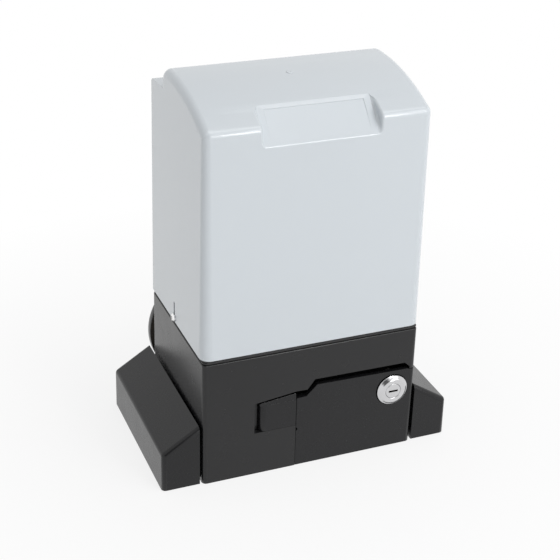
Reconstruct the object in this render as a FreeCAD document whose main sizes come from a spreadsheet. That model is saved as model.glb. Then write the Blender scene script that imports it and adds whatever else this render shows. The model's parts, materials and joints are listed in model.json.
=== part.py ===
"""Sliding gate motor: a worm-geared rack drive with a key release, on a cast base under a moulded cover.

Frame: +Z up, the front face looks along -Y, millimetres. The origin is on the underside of the base, at the
centre of its four anchor slots.
"""
import FreeCAD, Part
import math
import os
import Sketcher

V = FreeCAD.Vector
doc = FreeCAD.newDocument("sliding_gate_motor")

# --- driving dimensions ------------------------------------------------------------------------------------

SIZES = [
    # base casting
    ("base_width", 192.8, "base casting, left to right, at the ground"),
    ("base_depth", 138.2, "base casting, front to rear, at the ground"),
    ("base_height", 118.0, "top of the base's rim"),
    ("base_draft", 0.27, "casting draft of the base's sides, degrees"),
    ("base_edge", 4.0, "radius of the base's upright edges"),
    ("base_wall", 5.0, "front and side walls of the base"),
    ("base_floor", 8.0, "floor of the base"),
    ("deck_height", 112.0, "top deck that the motor stands on"),
    ("rim_height", 3.8, "height of the recessed rim under the cover"),
    ("rim_round", 1.0, "rounded edge of the base below the rim"),
    ("rim_recess", 2.0, "depth of the recessed rim"),
    ("rim_wall", 3.4, "wall of the rim round the deck"),
    # cover
    ("cover_width", 193.4, "cover, left to right, at its lower edge"),
    ("cover_depth", 138.2, "cover without its overhang, front to rear, at its lower edge"),
    ("cover_overhang", 3.5, "how far the cover passes the base at the rear"),
    ("cover_draft", 0.70, "moulding draft of the cover, degrees"),
    ("cover_edge", 8.5, "radius of the cover's upright edges"),
    ("cover_wall", 3.0, "wall of the cover"),
    ("cover_seat", 0.2, "gap between the rim and the cover's lower edge"),
    ("cover_top_round", 6.5, "radius round the cover's top"),
    ("crest_height", 330.2, "highest line of the arched top"),
    ("crest_place", 22.0, "where the crest lies, front to rear"),
    ("crest_flat", 5.0, "level strip behind the crest"),
    ("arch_radius", 201.0, "radius of the arched top, front to rear"),
    ("ledge_drop", 17.4, "ledge along the rear of the top, below the crest"),
    ("rear_round", 12.0, "rounding of the arch down to the ledge"),
    ("ledge_round", 9.0, "rounding of the ledge into the rear face"),
    ("rear_lean", 5.5, "how far the rear face leans in at the ledge"),
    ("plate_width", 98.0, "sloping facet at the top of the front, left to right"),
    ("plate_place", 1.5, "middle of the facet"),
    ("plate_front", 36.2, "lower edge of the facet on the front face, below the crest"),
    ("plate_top", 11.0, "upper edge of the facet on the arch, below the crest"),
    ("plate_back", 23.5, "how far back the facet's upper edge lies"),
    ("plate_round", 2.2, "rounded edges round the facet"),
    ("cover_slot", 3.2, "width of the slots over the cover screws"),
    ("cover_slot_top", 136.0, "upper end of those slots"),
    ("cover_screw_height", 121.8, "height of the cover screws"),
    ("cover_screw_place", 4.0, "cover screws, front to rear"),
    # feet
    ("ear_reach", 126.0, "outer edge of the anchor ears from the centre"),
    ("ear_thick", 10.0, "thickness of the anchor ears"),
    ("ear_front", 58.0, "ears forward of the centre"),
    ("ear_rear", 60.0, "ears behind the centre"),
    ("anchor_inset", 15.0, "middle of the anchor slots in from the ears' outer edges"),
    ("anchor_spacing_y", 90.0, "anchor slots, front to rear"),
    ("anchor_slot_width", 11.0, "anchor slots, width, for M10"),
    ("anchor_slot_length", 22.0, "anchor slots, end to end"),
    ("leveller_spacing_y", 36.0, "levelling screws, front to rear"),
    ("foot_gap", 2.0, "gap between a foot cover and the base"),
    ("foot_margin", 5.2, "outer face of the foot covers beyond the ears"),
    ("foot_outer_height", 35.4, "outer height of the foot covers"),
    ("foot_inner_height", 56.0, "height of the foot covers beside the base"),
    ("foot_front", 67.6, "foot covers forward of the centre"),
    ("foot_rear", 77.6, "foot covers behind the centre"),
    ("foot_wall", 2.5, "wall of the foot covers"),
    ("foot_round", 4.0, "rounded edges of the foot covers"),
    ("foot_clear", 0.3, "foot covers above the ground"),
    # gears
    ("gear_x", -37.5, "output shaft, left to right"),
    ("gear_z", 62.0, "height of the output shaft"),
    ("worm_module", 2.5, "module of the worm gear"),
    ("wheel_teeth", 32, "teeth of the worm wheel"),
    ("worm_pitch_radius", 12.5, "pitch radius of the worm"),
    ("worm_backlash", 0.6, "play between worm and wheel along the pitch line"),
    ("wheel_width", 20.0, "width of the worm wheel's rim"),
    ("chamber_radius", 45.5, "oil chamber round the worm wheel"),
    ("chamber_front", -14.0, "front end of the oil chamber"),
    ("barrel_radius", 53.5, "round gearbox behind the base"),
    ("barrel_rear", 84.0, "rear face of the round gearbox"),
    ("gear_cover_radius", 57.0, "round cover on the gearbox"),
    ("gear_cover_thick", 10.0, "thickness of that cover"),
    ("gasket_thick", 0.5, "gasket under the round cover"),
    ("gear_cover_screws", 6, "screws of the round cover"),
    ("gear_cover_screw_circle", 99.0, "pitch circle of those screws"),
    ("shaft_radius", 10.0, "output shaft at the wheel and front bearing"),
    ("shaft_rear_radius", 12.5, "output shaft at the rear bearing and pinion"),
    ("running_gap", 0.04, "radial clearance of a running fit"),
    ("seat_gap", 0.04, "radial clearance of a bearing in its seat"),
    ("rack_module", 4.0, "module of the output pinion"),
    ("pinion_teeth", 16, "teeth of the output pinion"),
    ("pinion_width", 22.0, "width of the output pinion"),
    ("pinion_front", 99.0, "front face of the pinion"),
    # clutch
    ("dog_height", 5.0, "height of the clutch dogs"),
    ("dog_play", 0.5, "clearance over the dogs"),
    ("sleeve_radius", 19.0, "radius of the clutch sleeve"),
    ("sleeve_length", 18.5, "length of the clutch sleeve"),
    ("clutch_travel", 6.0, "travel that frees the clutch"),
    ("cross_pin_radius", 2.5, "pin across the sleeve"),
    ("rod_radius", 4.0, "release rod"),
    ("spring_wire", 2.2, "flat wire of the clutch spring, across the coil and along it"),
    ("spring_turns", 5, "turns of the clutch spring"),
    ("spring_radius", 14.4, "mean radius of the clutch spring"),
    # motor
    ("worm_shaft_bottom", 18.0, "lower end of the worm shaft"),
    ("motor_radius", 51.0, "outside of the stator stack"),
    ("bell_radius", 53.0, "outside of the motor's end bells"),
    ("bell_floor", 6.0, "floor of the end bells"),
    ("stack_bottom", 130.0, "lower end of the stator stack"),
    ("stack_length", 80.0, "length of the stator stack"),
    ("stator_bore", 28.3, "bore of the stator"),
    ("air_gap", 0.4, "gap between stator and rotor"),
    ("bolt_circle", 56.5, "radius of the circle of motor through-bolts"),
    ("bolt_radius", 2.0, "motor through-bolts"),
    ("motor_ear_radius", 5.5, "ears of the end bells round those bolts"),
    ("fan_radius", 42.0, "motor fan"),
    # release lever, door and lock
    ("door_seam", -13.4, "left edge of the release door"),
    ("door_gap", 0.3, "gap along the door's left edge"),
    ("door_clear", 0.3, "door above the ground"),
    ("door_low", 67.5, "upper edge of the door near the tab"),
    ("door_high", 77.4, "upper edge of the door by the lock"),
    ("door_right_edge", 75.2, "upper edge of the door at the corner"),
    ("door_thick", 4.0, "thickness of the door"),
    ("door_relief", 0.5, "how far the door's left edge slants back behind its face"),
    ("door_wrap", 14.0, "door's return round the right-hand corner"),
    ("finger_gap", 5.4, "finger gap above the door"),
    ("tab_left", -46.7, "left end of the lever's tab"),
    ("tab_bottom", 41.0, "lower edge of the tab"),
    ("tab_top", 66.4, "upper edge of the tab"),
    ("tab_gap", 4.3, "gap at the left end of the tab"),
    ("lever_thick", 8.0, "thickness of the lever at its tab"),
    ("pivot_radius", 2.5, "hinge pin of the lever"),
    ("pivot_set", 5.7, "hinge pin behind the front face"),
    ("cam_start", 6.5, "cam radius with the door shut"),
    ("cavity_back", -46.0, "back wall of the release cavity"),
    ("lock_x", 75.0, "lock, left to right"),
    ("lock_z", 58.0, "height of the lock"),
    ("lock_ring_radius", 14.0, "trim ring of the lock"),
    ("lock_barrel_radius", 10.9, "lock barrel"),
    ("lock_plug_radius", 7.0, "lock plug"),
    ("tongue_length", 31.0, "reach of the lock's tongue"),
    # control side
    ("board_x", -63.2, "right-hand face of the control board"),
    ("board_width", 100.0, "control board, front to rear"),
    ("board_length", 140.0, "control board, top to bottom"),
    ("board_thick", 1.6, "thickness of the control board"),
    ("board_drop", 42.2, "upper edge of the control board, below the crest"),
    ("bracket_thick", 2.0, "sheet of the board bracket"),
    ("run_cap_radius", 16.0, "motor run capacitor"),
    ("run_cap_length", 75.0, "length of the run capacitor"),
    ("gland_x", 68.0, "cable gland, left to right"),
    ("gland_y", 16.0, "cable gland, front to rear"),
    ("gland_radius", 10.0, "thread of the cable gland"),
    ("gland_bore", 6.0, "cable bore of the gland"),
]


class Size:
    """A length with the spreadsheet formula that gives it, so that sums of sizes stay bound to the sheet."""

    def __init__(self, value, text):
        self.value = float(value)
        self.text = text

    def __add__(self, other):
        other = size(other)
        return Size(self.value + other.value, f"({self.text} + {other.text})")

    def __sub__(self, other):
        other = size(other)
        return Size(self.value - other.value, f"({self.text} - {other.text})")

    def __mul__(self, factor):
        factor = size(factor)
        return Size(self.value * factor.value, f"({self.text} * {factor.text})")

    def __truediv__(self, factor):
        factor = size(factor)
        return Size(self.value / factor.value, f"({self.text} / {factor.text})")

    def __neg__(self):
        return Size(-self.value, f"(0 - {self.text})")

    def __radd__(self, other):
        return size(other) + self

    def __rsub__(self, other):
        return size(other) - self

    def __rmul__(self, other):
        return size(other) * self


def size(thing):
    """A Size from a plain number, or the Size itself."""
    if isinstance(thing, Size):
        return thing
    return Size(thing, f"{float(thing):.9g}" if thing >= 0 else f"(0 - {-float(thing):.9g})")


def root(thing):
    """The square root of a Size."""
    return Size(math.sqrt(thing.value), f"sqrt({thing.text})")


class Named:
    """The named sizes, as attributes."""


def make_sheet():
    sheet = doc.addObject("Spreadsheet::Sheet", "Sizes")
    named = Named()
    for row, (name, value, note) in enumerate(SIZES, start=1):
        sheet.set(f"A{row}", note)
        sheet.set(f"B{row}", str(value))
        sheet.setAlias(f"B{row}", name)
        setattr(named, name, Size(value, f"Sizes.{name}"))
    doc.recompute()
    return named


D = make_sheet()
cuts = []       # every pocket and groove, to prove that it cut something
parts = []      # every finished sub-part

# --- small helpers -----------------------------------------------------------------------------------------


def bind(thing, prop, length):
    """Set a property from a size and tie it to the sheet."""
    length = size(length)
    if "Sizes." in length.text or "." in prop:
        thing.setExpression(prop, length.text)
    else:
        setattr(thing, prop, length.value)


def finish(thing, name):
    """Name a sub-part and keep it for the export."""
    thing.Label = name
    parts.append(thing)
    return thing


def place(thing, x=0, y=0, z=0, axis=None, angle=0):
    """Put a sub-part in its place, turned about one axis."""
    turn = FreeCAD.Rotation(axis, angle) if axis else FreeCAD.Rotation()
    at = [size(one) for one in (x, y, z)]
    thing.Placement = FreeCAD.Placement(V(*[one.value for one in at]), turn)
    for prop, one in zip("xyz", at):
        bind(thing, f"Placement.Base.{prop}", one)


def new_body(name):
    return doc.addObject("PartDesign::Body", name)


def origin(body, role):
    return next(one for one in body.Origin.OriginFeatures if one.Role == role)


def sketch(body, plane, name, at=0):
    """An empty sketch parallel to one of the body's origin planes. On XZ, at is measured along +Y."""
    item = body.newObject("Sketcher::SketchObject", name)
    item.AttachmentSupport = [(origin(body, f"{plane}_Plane"), "")]
    item.MapMode = "FlatFace"
    along = -size(at) if plane == "XZ" else size(at)
    item.AttachmentOffset = FreeCAD.Placement(V(0, 0, along.value), FreeCAD.Rotation())
    item.setExpression(".AttachmentOffset.Base.z", along.text)
    return item


def tie(item, kind, where, length):
    """Add one constraint whose value comes from the sheet."""
    length = size(length)
    number = item.addConstraint(Sketcher.Constraint(kind, *where, length.value))
    if "Sizes." in length.text:
        item.setExpression(f"Constraints[{number}]", length.text)


def pin_point(item, edge, end, x, y):
    tie(item, "DistanceX", (-1, 1, edge, end), x)
    tie(item, "DistanceY", (-1, 1, edge, end), y)


def arc_between(start, end, radius):
    """The short arc between two points; a positive radius bulges to the right of the way."""
    chord = end - start
    middle = (start + end) * 0.5
    left = V(-chord.y, chord.x, 0).normalize()
    depth = math.sqrt(max(radius * radius - chord.Length ** 2 / 4, 0))
    centre = middle + left * math.copysign(depth, radius)
    # sketch arcs run anticlockwise, which is the way round only for a bulge to the right
    first, last = (start, end) if radius > 0 else (end, start)
    begin = math.atan2(first.y - centre.y, first.x - centre.x)
    stop = math.atan2(last.y - centre.y, last.x - centre.x)
    if stop <= begin:
        stop += 2 * math.pi
    return Part.ArcOfCircle(Part.Circle(centre, V(0, 0, 1), abs(radius)), begin, stop)


def outline(item, points):
    """A closed outline through (x, y) points. A third entry is the radius of the arc to the next point."""
    first = item.GeometryCount
    corners = [V(size(one[0]).value, size(one[1]).value, 0) for one in points]
    count = len(points)
    ends = []
    for number, one in enumerate(points):
        start, end = corners[number], corners[(number + 1) % count]
        bulge = size(one[2]).value if len(one) == 3 else 0
        item.addGeometry(arc_between(start, end, bulge) if bulge else Part.LineSegment(start, end), False)
        ends.append((2, 1) if bulge < 0 else (1, 2))
    for number, one in enumerate(points):
        following = (number + 1) % count
        item.addConstraint(Sketcher.Constraint(
            "Coincident", first + number, ends[number][1], first + following, ends[following][0]))
        pin_point(item, first + number, ends[number][0], one[0], one[1])
        if len(one) == 3:
            radius = size(one[2])
            tie(item, "Radius", (first + number,), radius if radius.value > 0 else -radius)


def rectangle(item, x0, x1, y0, y1):
    outline(item, [(x0, y0), (x1, y0), (x1, y1), (x0, y1)])


def circle(item, x, y, radius):
    number = item.addGeometry(Part.Circle(V(size(x).value, size(y).value, 0), V(0, 0, 1), size(radius).value),
                              False)
    pin_point(item, number, 3, x, y)
    tie(item, "Radius", (number,), radius)


def rounded(item, x0, x1, y0, y1, radius):
    """A rectangle with rounded corners."""
    a, b, c, d, r = (size(one).value for one in (x0, x1, y0, y1, radius))
    first = item.GeometryCount
    quarter = math.pi / 2
    corners = [(b - r, c + r), (b - r, d - r), (a + r, d - r), (a + r, c + r)]
    sides = [((a + r, c), (b - r, c)), ((b, c + r), (b, d - r)), ((b - r, d), (a + r, d)),
             ((a, d - r), (a, c + r))]
    for turn, (centre, (start, end)) in enumerate(zip(corners, sides)):
        item.addGeometry(Part.LineSegment(V(*start, 0), V(*end, 0)), False)
        bend = Part.Circle(V(*centre, 0), V(0, 0, 1), r)
        item.addGeometry(Part.ArcOfCircle(bend, (turn - 1) * quarter, turn * quarter), False)
    for number in range(8):
        item.addConstraint(Sketcher.Constraint("Tangent", first + number, 2, first + (number + 1) % 8, 1))
    for number, kind in enumerate(("Horizontal", "Vertical", "Horizontal", "Vertical")):
        item.addConstraint(Sketcher.Constraint(kind, first + 2 * number))
    for number in (1, 3, 5):
        item.addConstraint(Sketcher.Constraint("Equal", first + number, first + number + 2))
    tie(item, "Radius", (first + 1,), radius)
    tie(item, "DistanceX", (-1, 1, first + 6, 1), x0)
    tie(item, "DistanceX", (-1, 1, first + 2, 1), x1)
    tie(item, "DistanceY", (-1, 1, first, 1), y0)
    tie(item, "DistanceY", (-1, 1, first + 4, 1), y1)


def slot(item, x, y, length, width):
    """A slot along the sketch's first axis, centred on a point."""
    radius = size(width) / 2
    reach = size(length) / 2 - radius
    left, right = size(x) - reach, size(x) + reach
    r, low, high = radius.value, (size(y) - radius).value, (size(y) + radius).value
    first = item.GeometryCount
    quarter = math.pi / 2
    item.addGeometry(Part.LineSegment(V(left.value, low, 0), V(right.value, low, 0)), False)
    for centre, side in ((right, -1), (left, 1)):
        bend = Part.Circle(V(centre.value, size(y).value, 0), V(0, 0, 1), r)
        item.addGeometry(Part.ArcOfCircle(bend, side * quarter, (side + 2) * quarter), False)
        if side < 0:
            item.addGeometry(Part.LineSegment(V(right.value, high, 0), V(left.value, high, 0)), False)
    for number in range(4):
        item.addConstraint(Sketcher.Constraint("Tangent", first + number, 2, first + (number + 1) % 4, 1))
    item.addConstraint(Sketcher.Constraint("Horizontal", first))
    tie(item, "Radius", (first + 1,), radius)
    pin_point(item, first + 1, 3, right, y)
    tie(item, "DistanceX", (-1, 1, first + 3, 3), left)


def pad(body, item, length, back=False, both=False, draft=None):
    """Raise a sketch along its normal: +Z from XY, +X from YZ, and -Y from XZ. back goes the other way."""
    feature = body.newObject("PartDesign::Pad", f"{item.Name}_pad")
    feature.Profile = item
    bind(feature, "Length", length)
    feature.Reversed = back
    if both:
        feature.SideType = "Symmetric"
    if draft is not None:
        bind(feature, "TaperAngle", -draft)
    return feature


def pocket(body, item, length, back=False, both=False):
    """Cut a sketch against its normal: -Z from XY, -X from YZ, and +Y from XZ. back goes the other way."""
    feature = body.newObject("PartDesign::Pocket", f"{item.Name}_pocket")
    feature.Profile = item
    bind(feature, "Length", length)
    feature.Reversed = back
    if both:
        feature.SideType = "Symmetric"
    cuts.append(feature)
    return feature


def revolve(body, name, points, cut=False):
    """Turn an outline of (radius, height) points about the body's Z axis."""
    item = sketch(body, "XZ", name)
    outline(item, points)
    kind = "PartDesign::Groove" if cut else "PartDesign::Revolution"
    feature = body.newObject(kind, f"{name}_turned")
    feature.Profile = item
    feature.ReferenceAxis = (item, ["V_Axis"])
    feature.Angle = 360
    if cut:
        cuts.append(feature)
    return feature


def turned(name, points):
    """A round part about its own Z axis, from (radius, height) points."""
    body = new_body(name)
    revolve(body, "profile", points)
    return body


def tube(body, name, inner, outer, bottom, top, cut=False):
    """A ring from one height to another about the body's Z axis; inner 0 makes a disc."""
    return revolve(body, name, [(inner, bottom), (outer, bottom), (outer, top), (inner, top)], cut)


def around(body, feature, count):
    """Repeat a feature round the body's Z axis."""
    pattern = body.newObject("PartDesign::PolarPattern", f"{feature.Name}_round")
    pattern.Originals = [feature]
    pattern.Axis = (origin(body, "Z_Axis"), [""])
    pattern.Angle = 360
    if isinstance(count, Size):
        bind(pattern, "Occurrences", count)
    else:
        pattern.Occurrences = count
    body.Tip = pattern
    return pattern


def edges_of(feature, test):
    """The names of a feature's edges that pass a test on their bounding box."""
    doc.recompute()
    return [f"Edge{n}" for n, edge in enumerate(feature.Shape.Edges, start=1) if test(edge.BoundBox)]


def fillet(body, feature, test, radius):
    found = edges_of(feature, test)
    if not found:
        raise ValueError(f"no edge to round on {feature.Name}")
    item = body.newObject("PartDesign::Fillet", f"{feature.Name}_round")
    item.Base = (feature, found)
    bind(item, "Radius", radius)
    return item


def upright(box):
    return box.XLength < 1.5 and box.YLength < 1.5 and box.ZLength > 1


def cylinder(name, radius, length, x=0, y=0, z=0, axis=None, angle=0):
    item = doc.addObject("Part::Cylinder", name)
    bind(item, "Radius", radius)
    bind(item, "Height", length)
    place(item, x, y, z, axis, angle)
    return item


def block(name, x0, x1, y0, y1, z0, z1):
    item = doc.addObject("Part::Box", name)
    bind(item, "Length", x1 - x0)
    bind(item, "Width", y1 - y0)
    bind(item, "Height", z1 - z0)
    place(item, x0, y0, z0)
    return item


def group(name, items):
    """Several separate solids in one sub-part."""
    item = doc.addObject("Part::Compound", name)
    item.Links = items
    return finish(item, name)


def cut_from(name, base, tool):
    item = doc.addObject("Part::Cut", name)
    item.Base = base
    item.Tool = tool
    return item


def fuse(name, items):
    item = doc.addObject("Part::MultiFuse", name)
    item.Shapes = items
    return item

# --- base and feet -----------------------------------------------------------------------------------------

WORM_X = D.gear_x + D.worm_module * D.wheel_teeth / 2 + D.worm_pitch_radius
HALF_WIDTH = D.base_width / 2
FRONT = -D.base_depth / 2
REAR = D.base_depth / 2
DOOR_RIGHT = HALF_WIDTH - D.base_wall       # where the door's return round the corner starts
PIVOT_X = D.tab_left + D.pivot_set
PIVOT_Y = FRONT + D.pivot_set
ANCHOR_X = D.ear_reach - D.anchor_inset      # middle of the anchor slots from the centre
RIM_INSIDE_X = HALF_WIDTH - 0.6 - D.rim_recess - D.rim_wall
RIM_INSIDE_Y = REAR - 0.6 - D.rim_recess - D.rim_wall
POCKET_DEPTH = D.deck_height - D.base_floor
BOLT_REACH = 21.2                           # motor screws from the worm's axis, both ways
SENSOR_X = D.gear_x + 7                     # middle of the limit sensor
LUG_REACH = 4                               # how far the cover's lugs stand in from the rim
CAPACITOR_X = HALF_WIDTH - 23.8             # run capacitor's axis
CAPACITOR_Y = FRONT + 23.7


def door_opening(gap):
    """Outline of the opening over the door and its finger gap, seen from the front."""
    low = D.door_low + D.finger_gap + 1.4
    high = D.door_high + D.finger_gap
    seam = D.door_seam - gap
    return [
        (seam, -5), (HALF_WIDTH + 5, -5), (HALF_WIDTH + 5, D.door_right_edge + gap),
        (DOOR_RIGHT - 0.4, D.door_right_edge + gap), (DOOR_RIGHT - 0.4, high - 5),
        (DOOR_RIGHT - 5.4, high - 0.6), (D.door_seam + 16.1, high), (D.door_seam + 9.4, low - 0.3),
        (seam, low),
    ]


def base_form():
    """The whole base as one form."""
    body = new_body("base_form")
    item = sketch(body, "XY", "footprint")
    rounded(item, -HALF_WIDTH, HALF_WIDTH, FRONT, REAR, D.base_edge)
    pad(body, item, D.base_height, draft=D.base_draft)

    # the rim steps in under the cover and leaves room for the seal; the ledge below it has a rounded edge
    item = sketch(body, "XY", "rim_band", D.base_height)
    rectangle(item, -HALF_WIDTH - 5, HALF_WIDTH + 5, FRONT - 5, REAR + 5)
    inset = D.rim_recess + 0.6
    rounded(item, inset - HALF_WIDTH, HALF_WIDTH - inset, FRONT + inset, REAR - inset, 3)
    band = pocket(body, item, D.rim_height)
    ledge, outside = (D.base_height - D.rim_height).value, (HALF_WIDTH - 1).value
    fillet(body, band, lambda box: box.ZLength < 0.01 and abs(box.ZMin - ledge) < 0.01 and box.XMax > outside
           and box.XLength < 1, D.rim_round)

    item = sketch(body, "XY", "ears")
    for side in (-1, 1):
        near, far = side * (HALF_WIDTH - 3), side * D.ear_reach
        rounded(item, *((far, near) if side < 0 else (near, far)), -D.ear_front, D.ear_rear, 2.5)
    pad(body, item, D.ear_thick)

    item = sketch(body, "XZ", "barrel", REAR - D.base_wall)
    circle(item, D.gear_x, D.gear_z, D.barrel_radius)
    pad(body, item, D.barrel_rear - REAR + D.base_wall, back=True)
    item = sketch(body, "XY", "barrel_notch", D.base_height)
    rectangle(item, inset - HALF_WIDTH, HALF_WIDTH - inset, REAR - inset, REAR + 5)
    pocket(body, item, D.rim_height)

    # deck inside the rim, open compartments beside the gearbox
    item = sketch(body, "XY", "deck", D.base_height)
    rounded(item, -RIM_INSIDE_X, RIM_INSIDE_X, -RIM_INSIDE_Y, RIM_INSIDE_Y, 3)
    pocket(body, item, D.base_height - D.deck_height)
    item = sketch(body, "XY", "cable_room", D.deck_height)
    inner_x, inner_y = HALF_WIDTH - 0.6 - D.base_wall, REAR - 0.6 - D.base_wall
    outline(item, [(48, D.cavity_back + 6), (inner_x, D.cavity_back + 6), (inner_x, inner_y), (13.5, inner_y),
                   (13.5, 34), (48, 34)])
    rounded(item, -inner_x, -inner_x + 27, D.cavity_back - 14, -22, 4)
    pocket(body, item, POCKET_DEPTH)

    # oil chamber, bearing seats and the bore of the release rod, all on the output shaft's axis
    steps = [("chamber", D.chamber_radius, D.barrel_rear, D.chamber_front),
             ("front_seat", 21 + D.seat_gap, D.chamber_front, D.chamber_front - 12),
             ("rod_bore", D.rod_radius + D.running_gap, D.chamber_front - 12, D.cavity_back - 1)]
    for name, radius, rear, front in steps:
        item = sketch(body, "XZ", name, rear)
        circle(item, D.gear_x, D.gear_z, radius)
        pocket(body, item, rear - front, back=True)

    # worm bore with its lower bearing seat, and the wider seat of the main motor bearing
    item = sketch(body, "XY", "worm_bore", D.deck_height)
    circle(item, WORM_X, 0, 17.5 + D.seat_gap)
    pocket(body, item, D.deck_height - D.worm_shaft_bottom + 1)
    item = sketch(body, "XY", "motor_seat", D.deck_height)
    circle(item, WORM_X, 0, 20 + D.seat_gap)
    pocket(body, item, 12)

    # opening for the door and the lever's tab, and the release cavity behind them
    item = sketch(body, "XZ", "door_opening", FRONT - 2)
    outline(item, door_opening(D.door_gap))
    pocket(body, item, D.base_wall + 2)
    item = sketch(body, "XZ", "corner_opening", FRONT - 2)
    rectangle(item, DOOR_RIGHT - 0.4, HALF_WIDTH + 5, -5, D.door_right_edge + D.door_gap)
    pocket(body, item, D.door_wrap + 2 + D.door_gap)
    item = sketch(body, "XZ", "tab_opening", FRONT - 2)
    low = D.door_low + D.finger_gap + 1.4
    left = D.tab_left - D.tab_gap
    floor = D.tab_bottom - D.door_gap
    outline(item, [(left, floor), (D.door_seam, floor), (D.door_seam, low), (left, low - 4.7)])
    pocket(body, item, D.base_wall + 2)
    item = sketch(body, "XZ", "lever_room", FRONT + D.base_wall - 0.5)
    rectangle(item, PIVOT_X - 15, D.door_seam + 1, floor, low)
    pocket(body, item, D.cavity_back - FRONT - D.base_wall + 0.5)
    item = sketch(body, "XZ", "release_cavity", FRONT + D.base_wall - 0.5)
    rectangle(item, D.door_seam - D.door_gap, DOOR_RIGHT - 0.4, 5, D.lock_z + D.tongue_length + 6)
    pocket(body, item, D.cavity_back - FRONT - D.base_wall + 0.5)

    # striker that the lock's tongue swings behind
    item = sketch(body, "XZ", "striker", FRONT + D.base_wall - 1)
    rectangle(item, D.lock_x - 9, D.lock_x + 9, D.door_high + D.finger_gap + 1.5,
              D.lock_z + D.tongue_length + 7)
    pad(body, item, 6, back=True)

    # bores for the hinge pin above and below the lever
    item = sketch(body, "XY", "pivot_bore", floor - 11)
    circle(item, PIVOT_X, PIVOT_Y, D.pivot_radius)
    pocket(body, item, low - floor + 22, back=True)

    # lugs that the cover is screwed to
    item = sketch(body, "XY", "cover_lugs", D.deck_height - 4)
    lug_face = D.cover_width / 2 - D.cover_wall - 0.6
    for side in (-1, 1):
        near, far = side * (RIM_INSIDE_X - LUG_REACH), side * lug_face
        ends = (far, near) if side < 0 else (near, far)
        rectangle(item, *ends, D.cover_screw_place - 8, D.cover_screw_place + 8)
    pad(body, item, D.cover_screw_height + 7 - D.deck_height + 4)
    item = sketch(body, "YZ", "cover_screw_holes")
    circle(item, D.cover_screw_place, D.cover_screw_height, 1.7)
    pocket(body, item, 2 * HALF_WIDTH, both=True)

    # anchor slots, levelling holes and the cable entry through the floor
    item = sketch(body, "XY", "floor_holes")
    for x in (-ANCHOR_X, ANCHOR_X):
        for y in (-D.anchor_spacing_y / 2, D.anchor_spacing_y / 2):
            slot(item, x, y, D.anchor_slot_length, D.anchor_slot_width)
        for y in (-D.leveller_spacing_y / 2, D.leveller_spacing_y / 2):
            circle(item, x, y, 5.03)
    circle(item, D.gland_x, D.gland_y, D.gland_radius + 0.2)
    pocket(body, item, D.ear_thick + 5, back=True)

    # tapped holes: round cover, motor, board bracket, sensor bracket, capacitor cup
    item = sketch(body, "XZ", "gear_cover_hole", D.barrel_rear)
    for x, z in gear_cover_screw_places():
        circle(item, x, z, 2.5)
    pocket(body, item, 14, back=True)
    item = sketch(body, "XY", "deck_holes", D.deck_height)
    for x in (WORM_X - BOLT_REACH, WORM_X + BOLT_REACH):
        for y in (-BOLT_REACH, BOLT_REACH):
            circle(item, x, y, 3)
    pocket(body, item, 6)
    for number, (x, y, radius) in enumerate(deck_screws()):
        item = sketch(body, "XY", f"bracket_hole_{number}", D.deck_height)
        circle(item, x, y, radius)
        pocket(body, item, 2.4 * radius)
    return body


def shell_zone():
    """The space of the outer shell: the front slab with the release cavity, three walls and the cover's lugs."""
    edge, above = 1, D.base_height + 1
    inner_x, inner_y = HALF_WIDTH - 0.6 - D.base_wall, REAR - 0.6 - D.base_wall
    slab = block("front_slab", -HALF_WIDTH - edge, HALF_WIDTH + edge, FRONT - edge, D.cavity_back, -edge,
                 above)
    outside = block("walls_outside", -HALF_WIDTH - edge, HALF_WIDTH + edge, D.cavity_back, REAR + edge,
                    D.ear_thick, above)
    inside = block("walls_inside", -inner_x, inner_x, D.cavity_back - edge, inner_y, D.ear_thick - edge,
                   above + edge)
    items = [slab, cut_from("walls", outside, inside)]
    for number, x in enumerate((-HALF_WIDTH, RIM_INSIDE_X - LUG_REACH)):
        items.append(block(f"lug_zone_{number}", x, x + HALF_WIDTH - RIM_INSIDE_X + LUG_REACH,
                           D.cover_screw_place - 8,
                           D.cover_screw_place + 8, D.deck_height - 4, D.cover_screw_height + 8))
    ears = [block(f"ear_zone_{number}", x, x + D.ear_reach, -D.ear_front, D.ear_rear, -2 * edge, D.ear_thick)
            for number, x in enumerate((3 - HALF_WIDTH - D.ear_reach, HALF_WIDTH - 3))]
    barrel = cylinder("barrel_zone", D.barrel_radius, 4 * D.base_wall, D.gear_x, REAR + 2 * D.base_wall,
                      D.gear_z,
                      V(1, 0, 0), 90)
    return cut_from("shell_zone", fuse("shell_space", items), fuse("casting_space", [*ears, barrel]))


def base_parts():
    """The base comes apart into the gearbox casting and the shell that slides down over it."""
    whole, zone = base_form(), shell_zone()
    finish(cut_from("base_housing", whole, zone), "base_housing")
    shell = doc.addObject("Part::Common", "base_shell")
    shell.Base = whole
    shell.Tool = zone
    finish(shell, "base_shell")


def gear_cover_screw_places():
    """Screws of the round cover, evenly spread with none straight above the shaft."""
    count = int(D.gear_cover_screws.value)
    reach = D.gear_cover_screw_circle / 2
    places = []
    for number in range(count):
        angle = math.radians(360 * number / count)
        places.append((D.gear_x + reach * round(math.cos(angle), 6), D.gear_z + reach * round(math.sin(angle),
                                                                                              6)))
    return places


def deck_screws():
    """Small deck screws: (x, y, radius) for the board bracket, the sensor bracket and the capacitor cup."""
    return [(D.board_x + 12, -44, 2), (D.board_x + 12, 44, 2), (SENSOR_X - 9, 58, 1.5),
            (SENSOR_X + 9, 58, 1.5),
            (CAPACITOR_X - 18.5, FRONT + 10.2, 2)]


def foot_profile(inset, low):
    """Section of a foot cover at the +X side, seen from the front."""
    near, far = HALF_WIDTH + D.foot_gap + inset, D.ear_reach + D.foot_margin - inset
    return [(near, low), (far, low), (far - 0.5, D.foot_outer_height - inset),
            (near, D.foot_inner_height - 1.3 * inset)]


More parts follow.
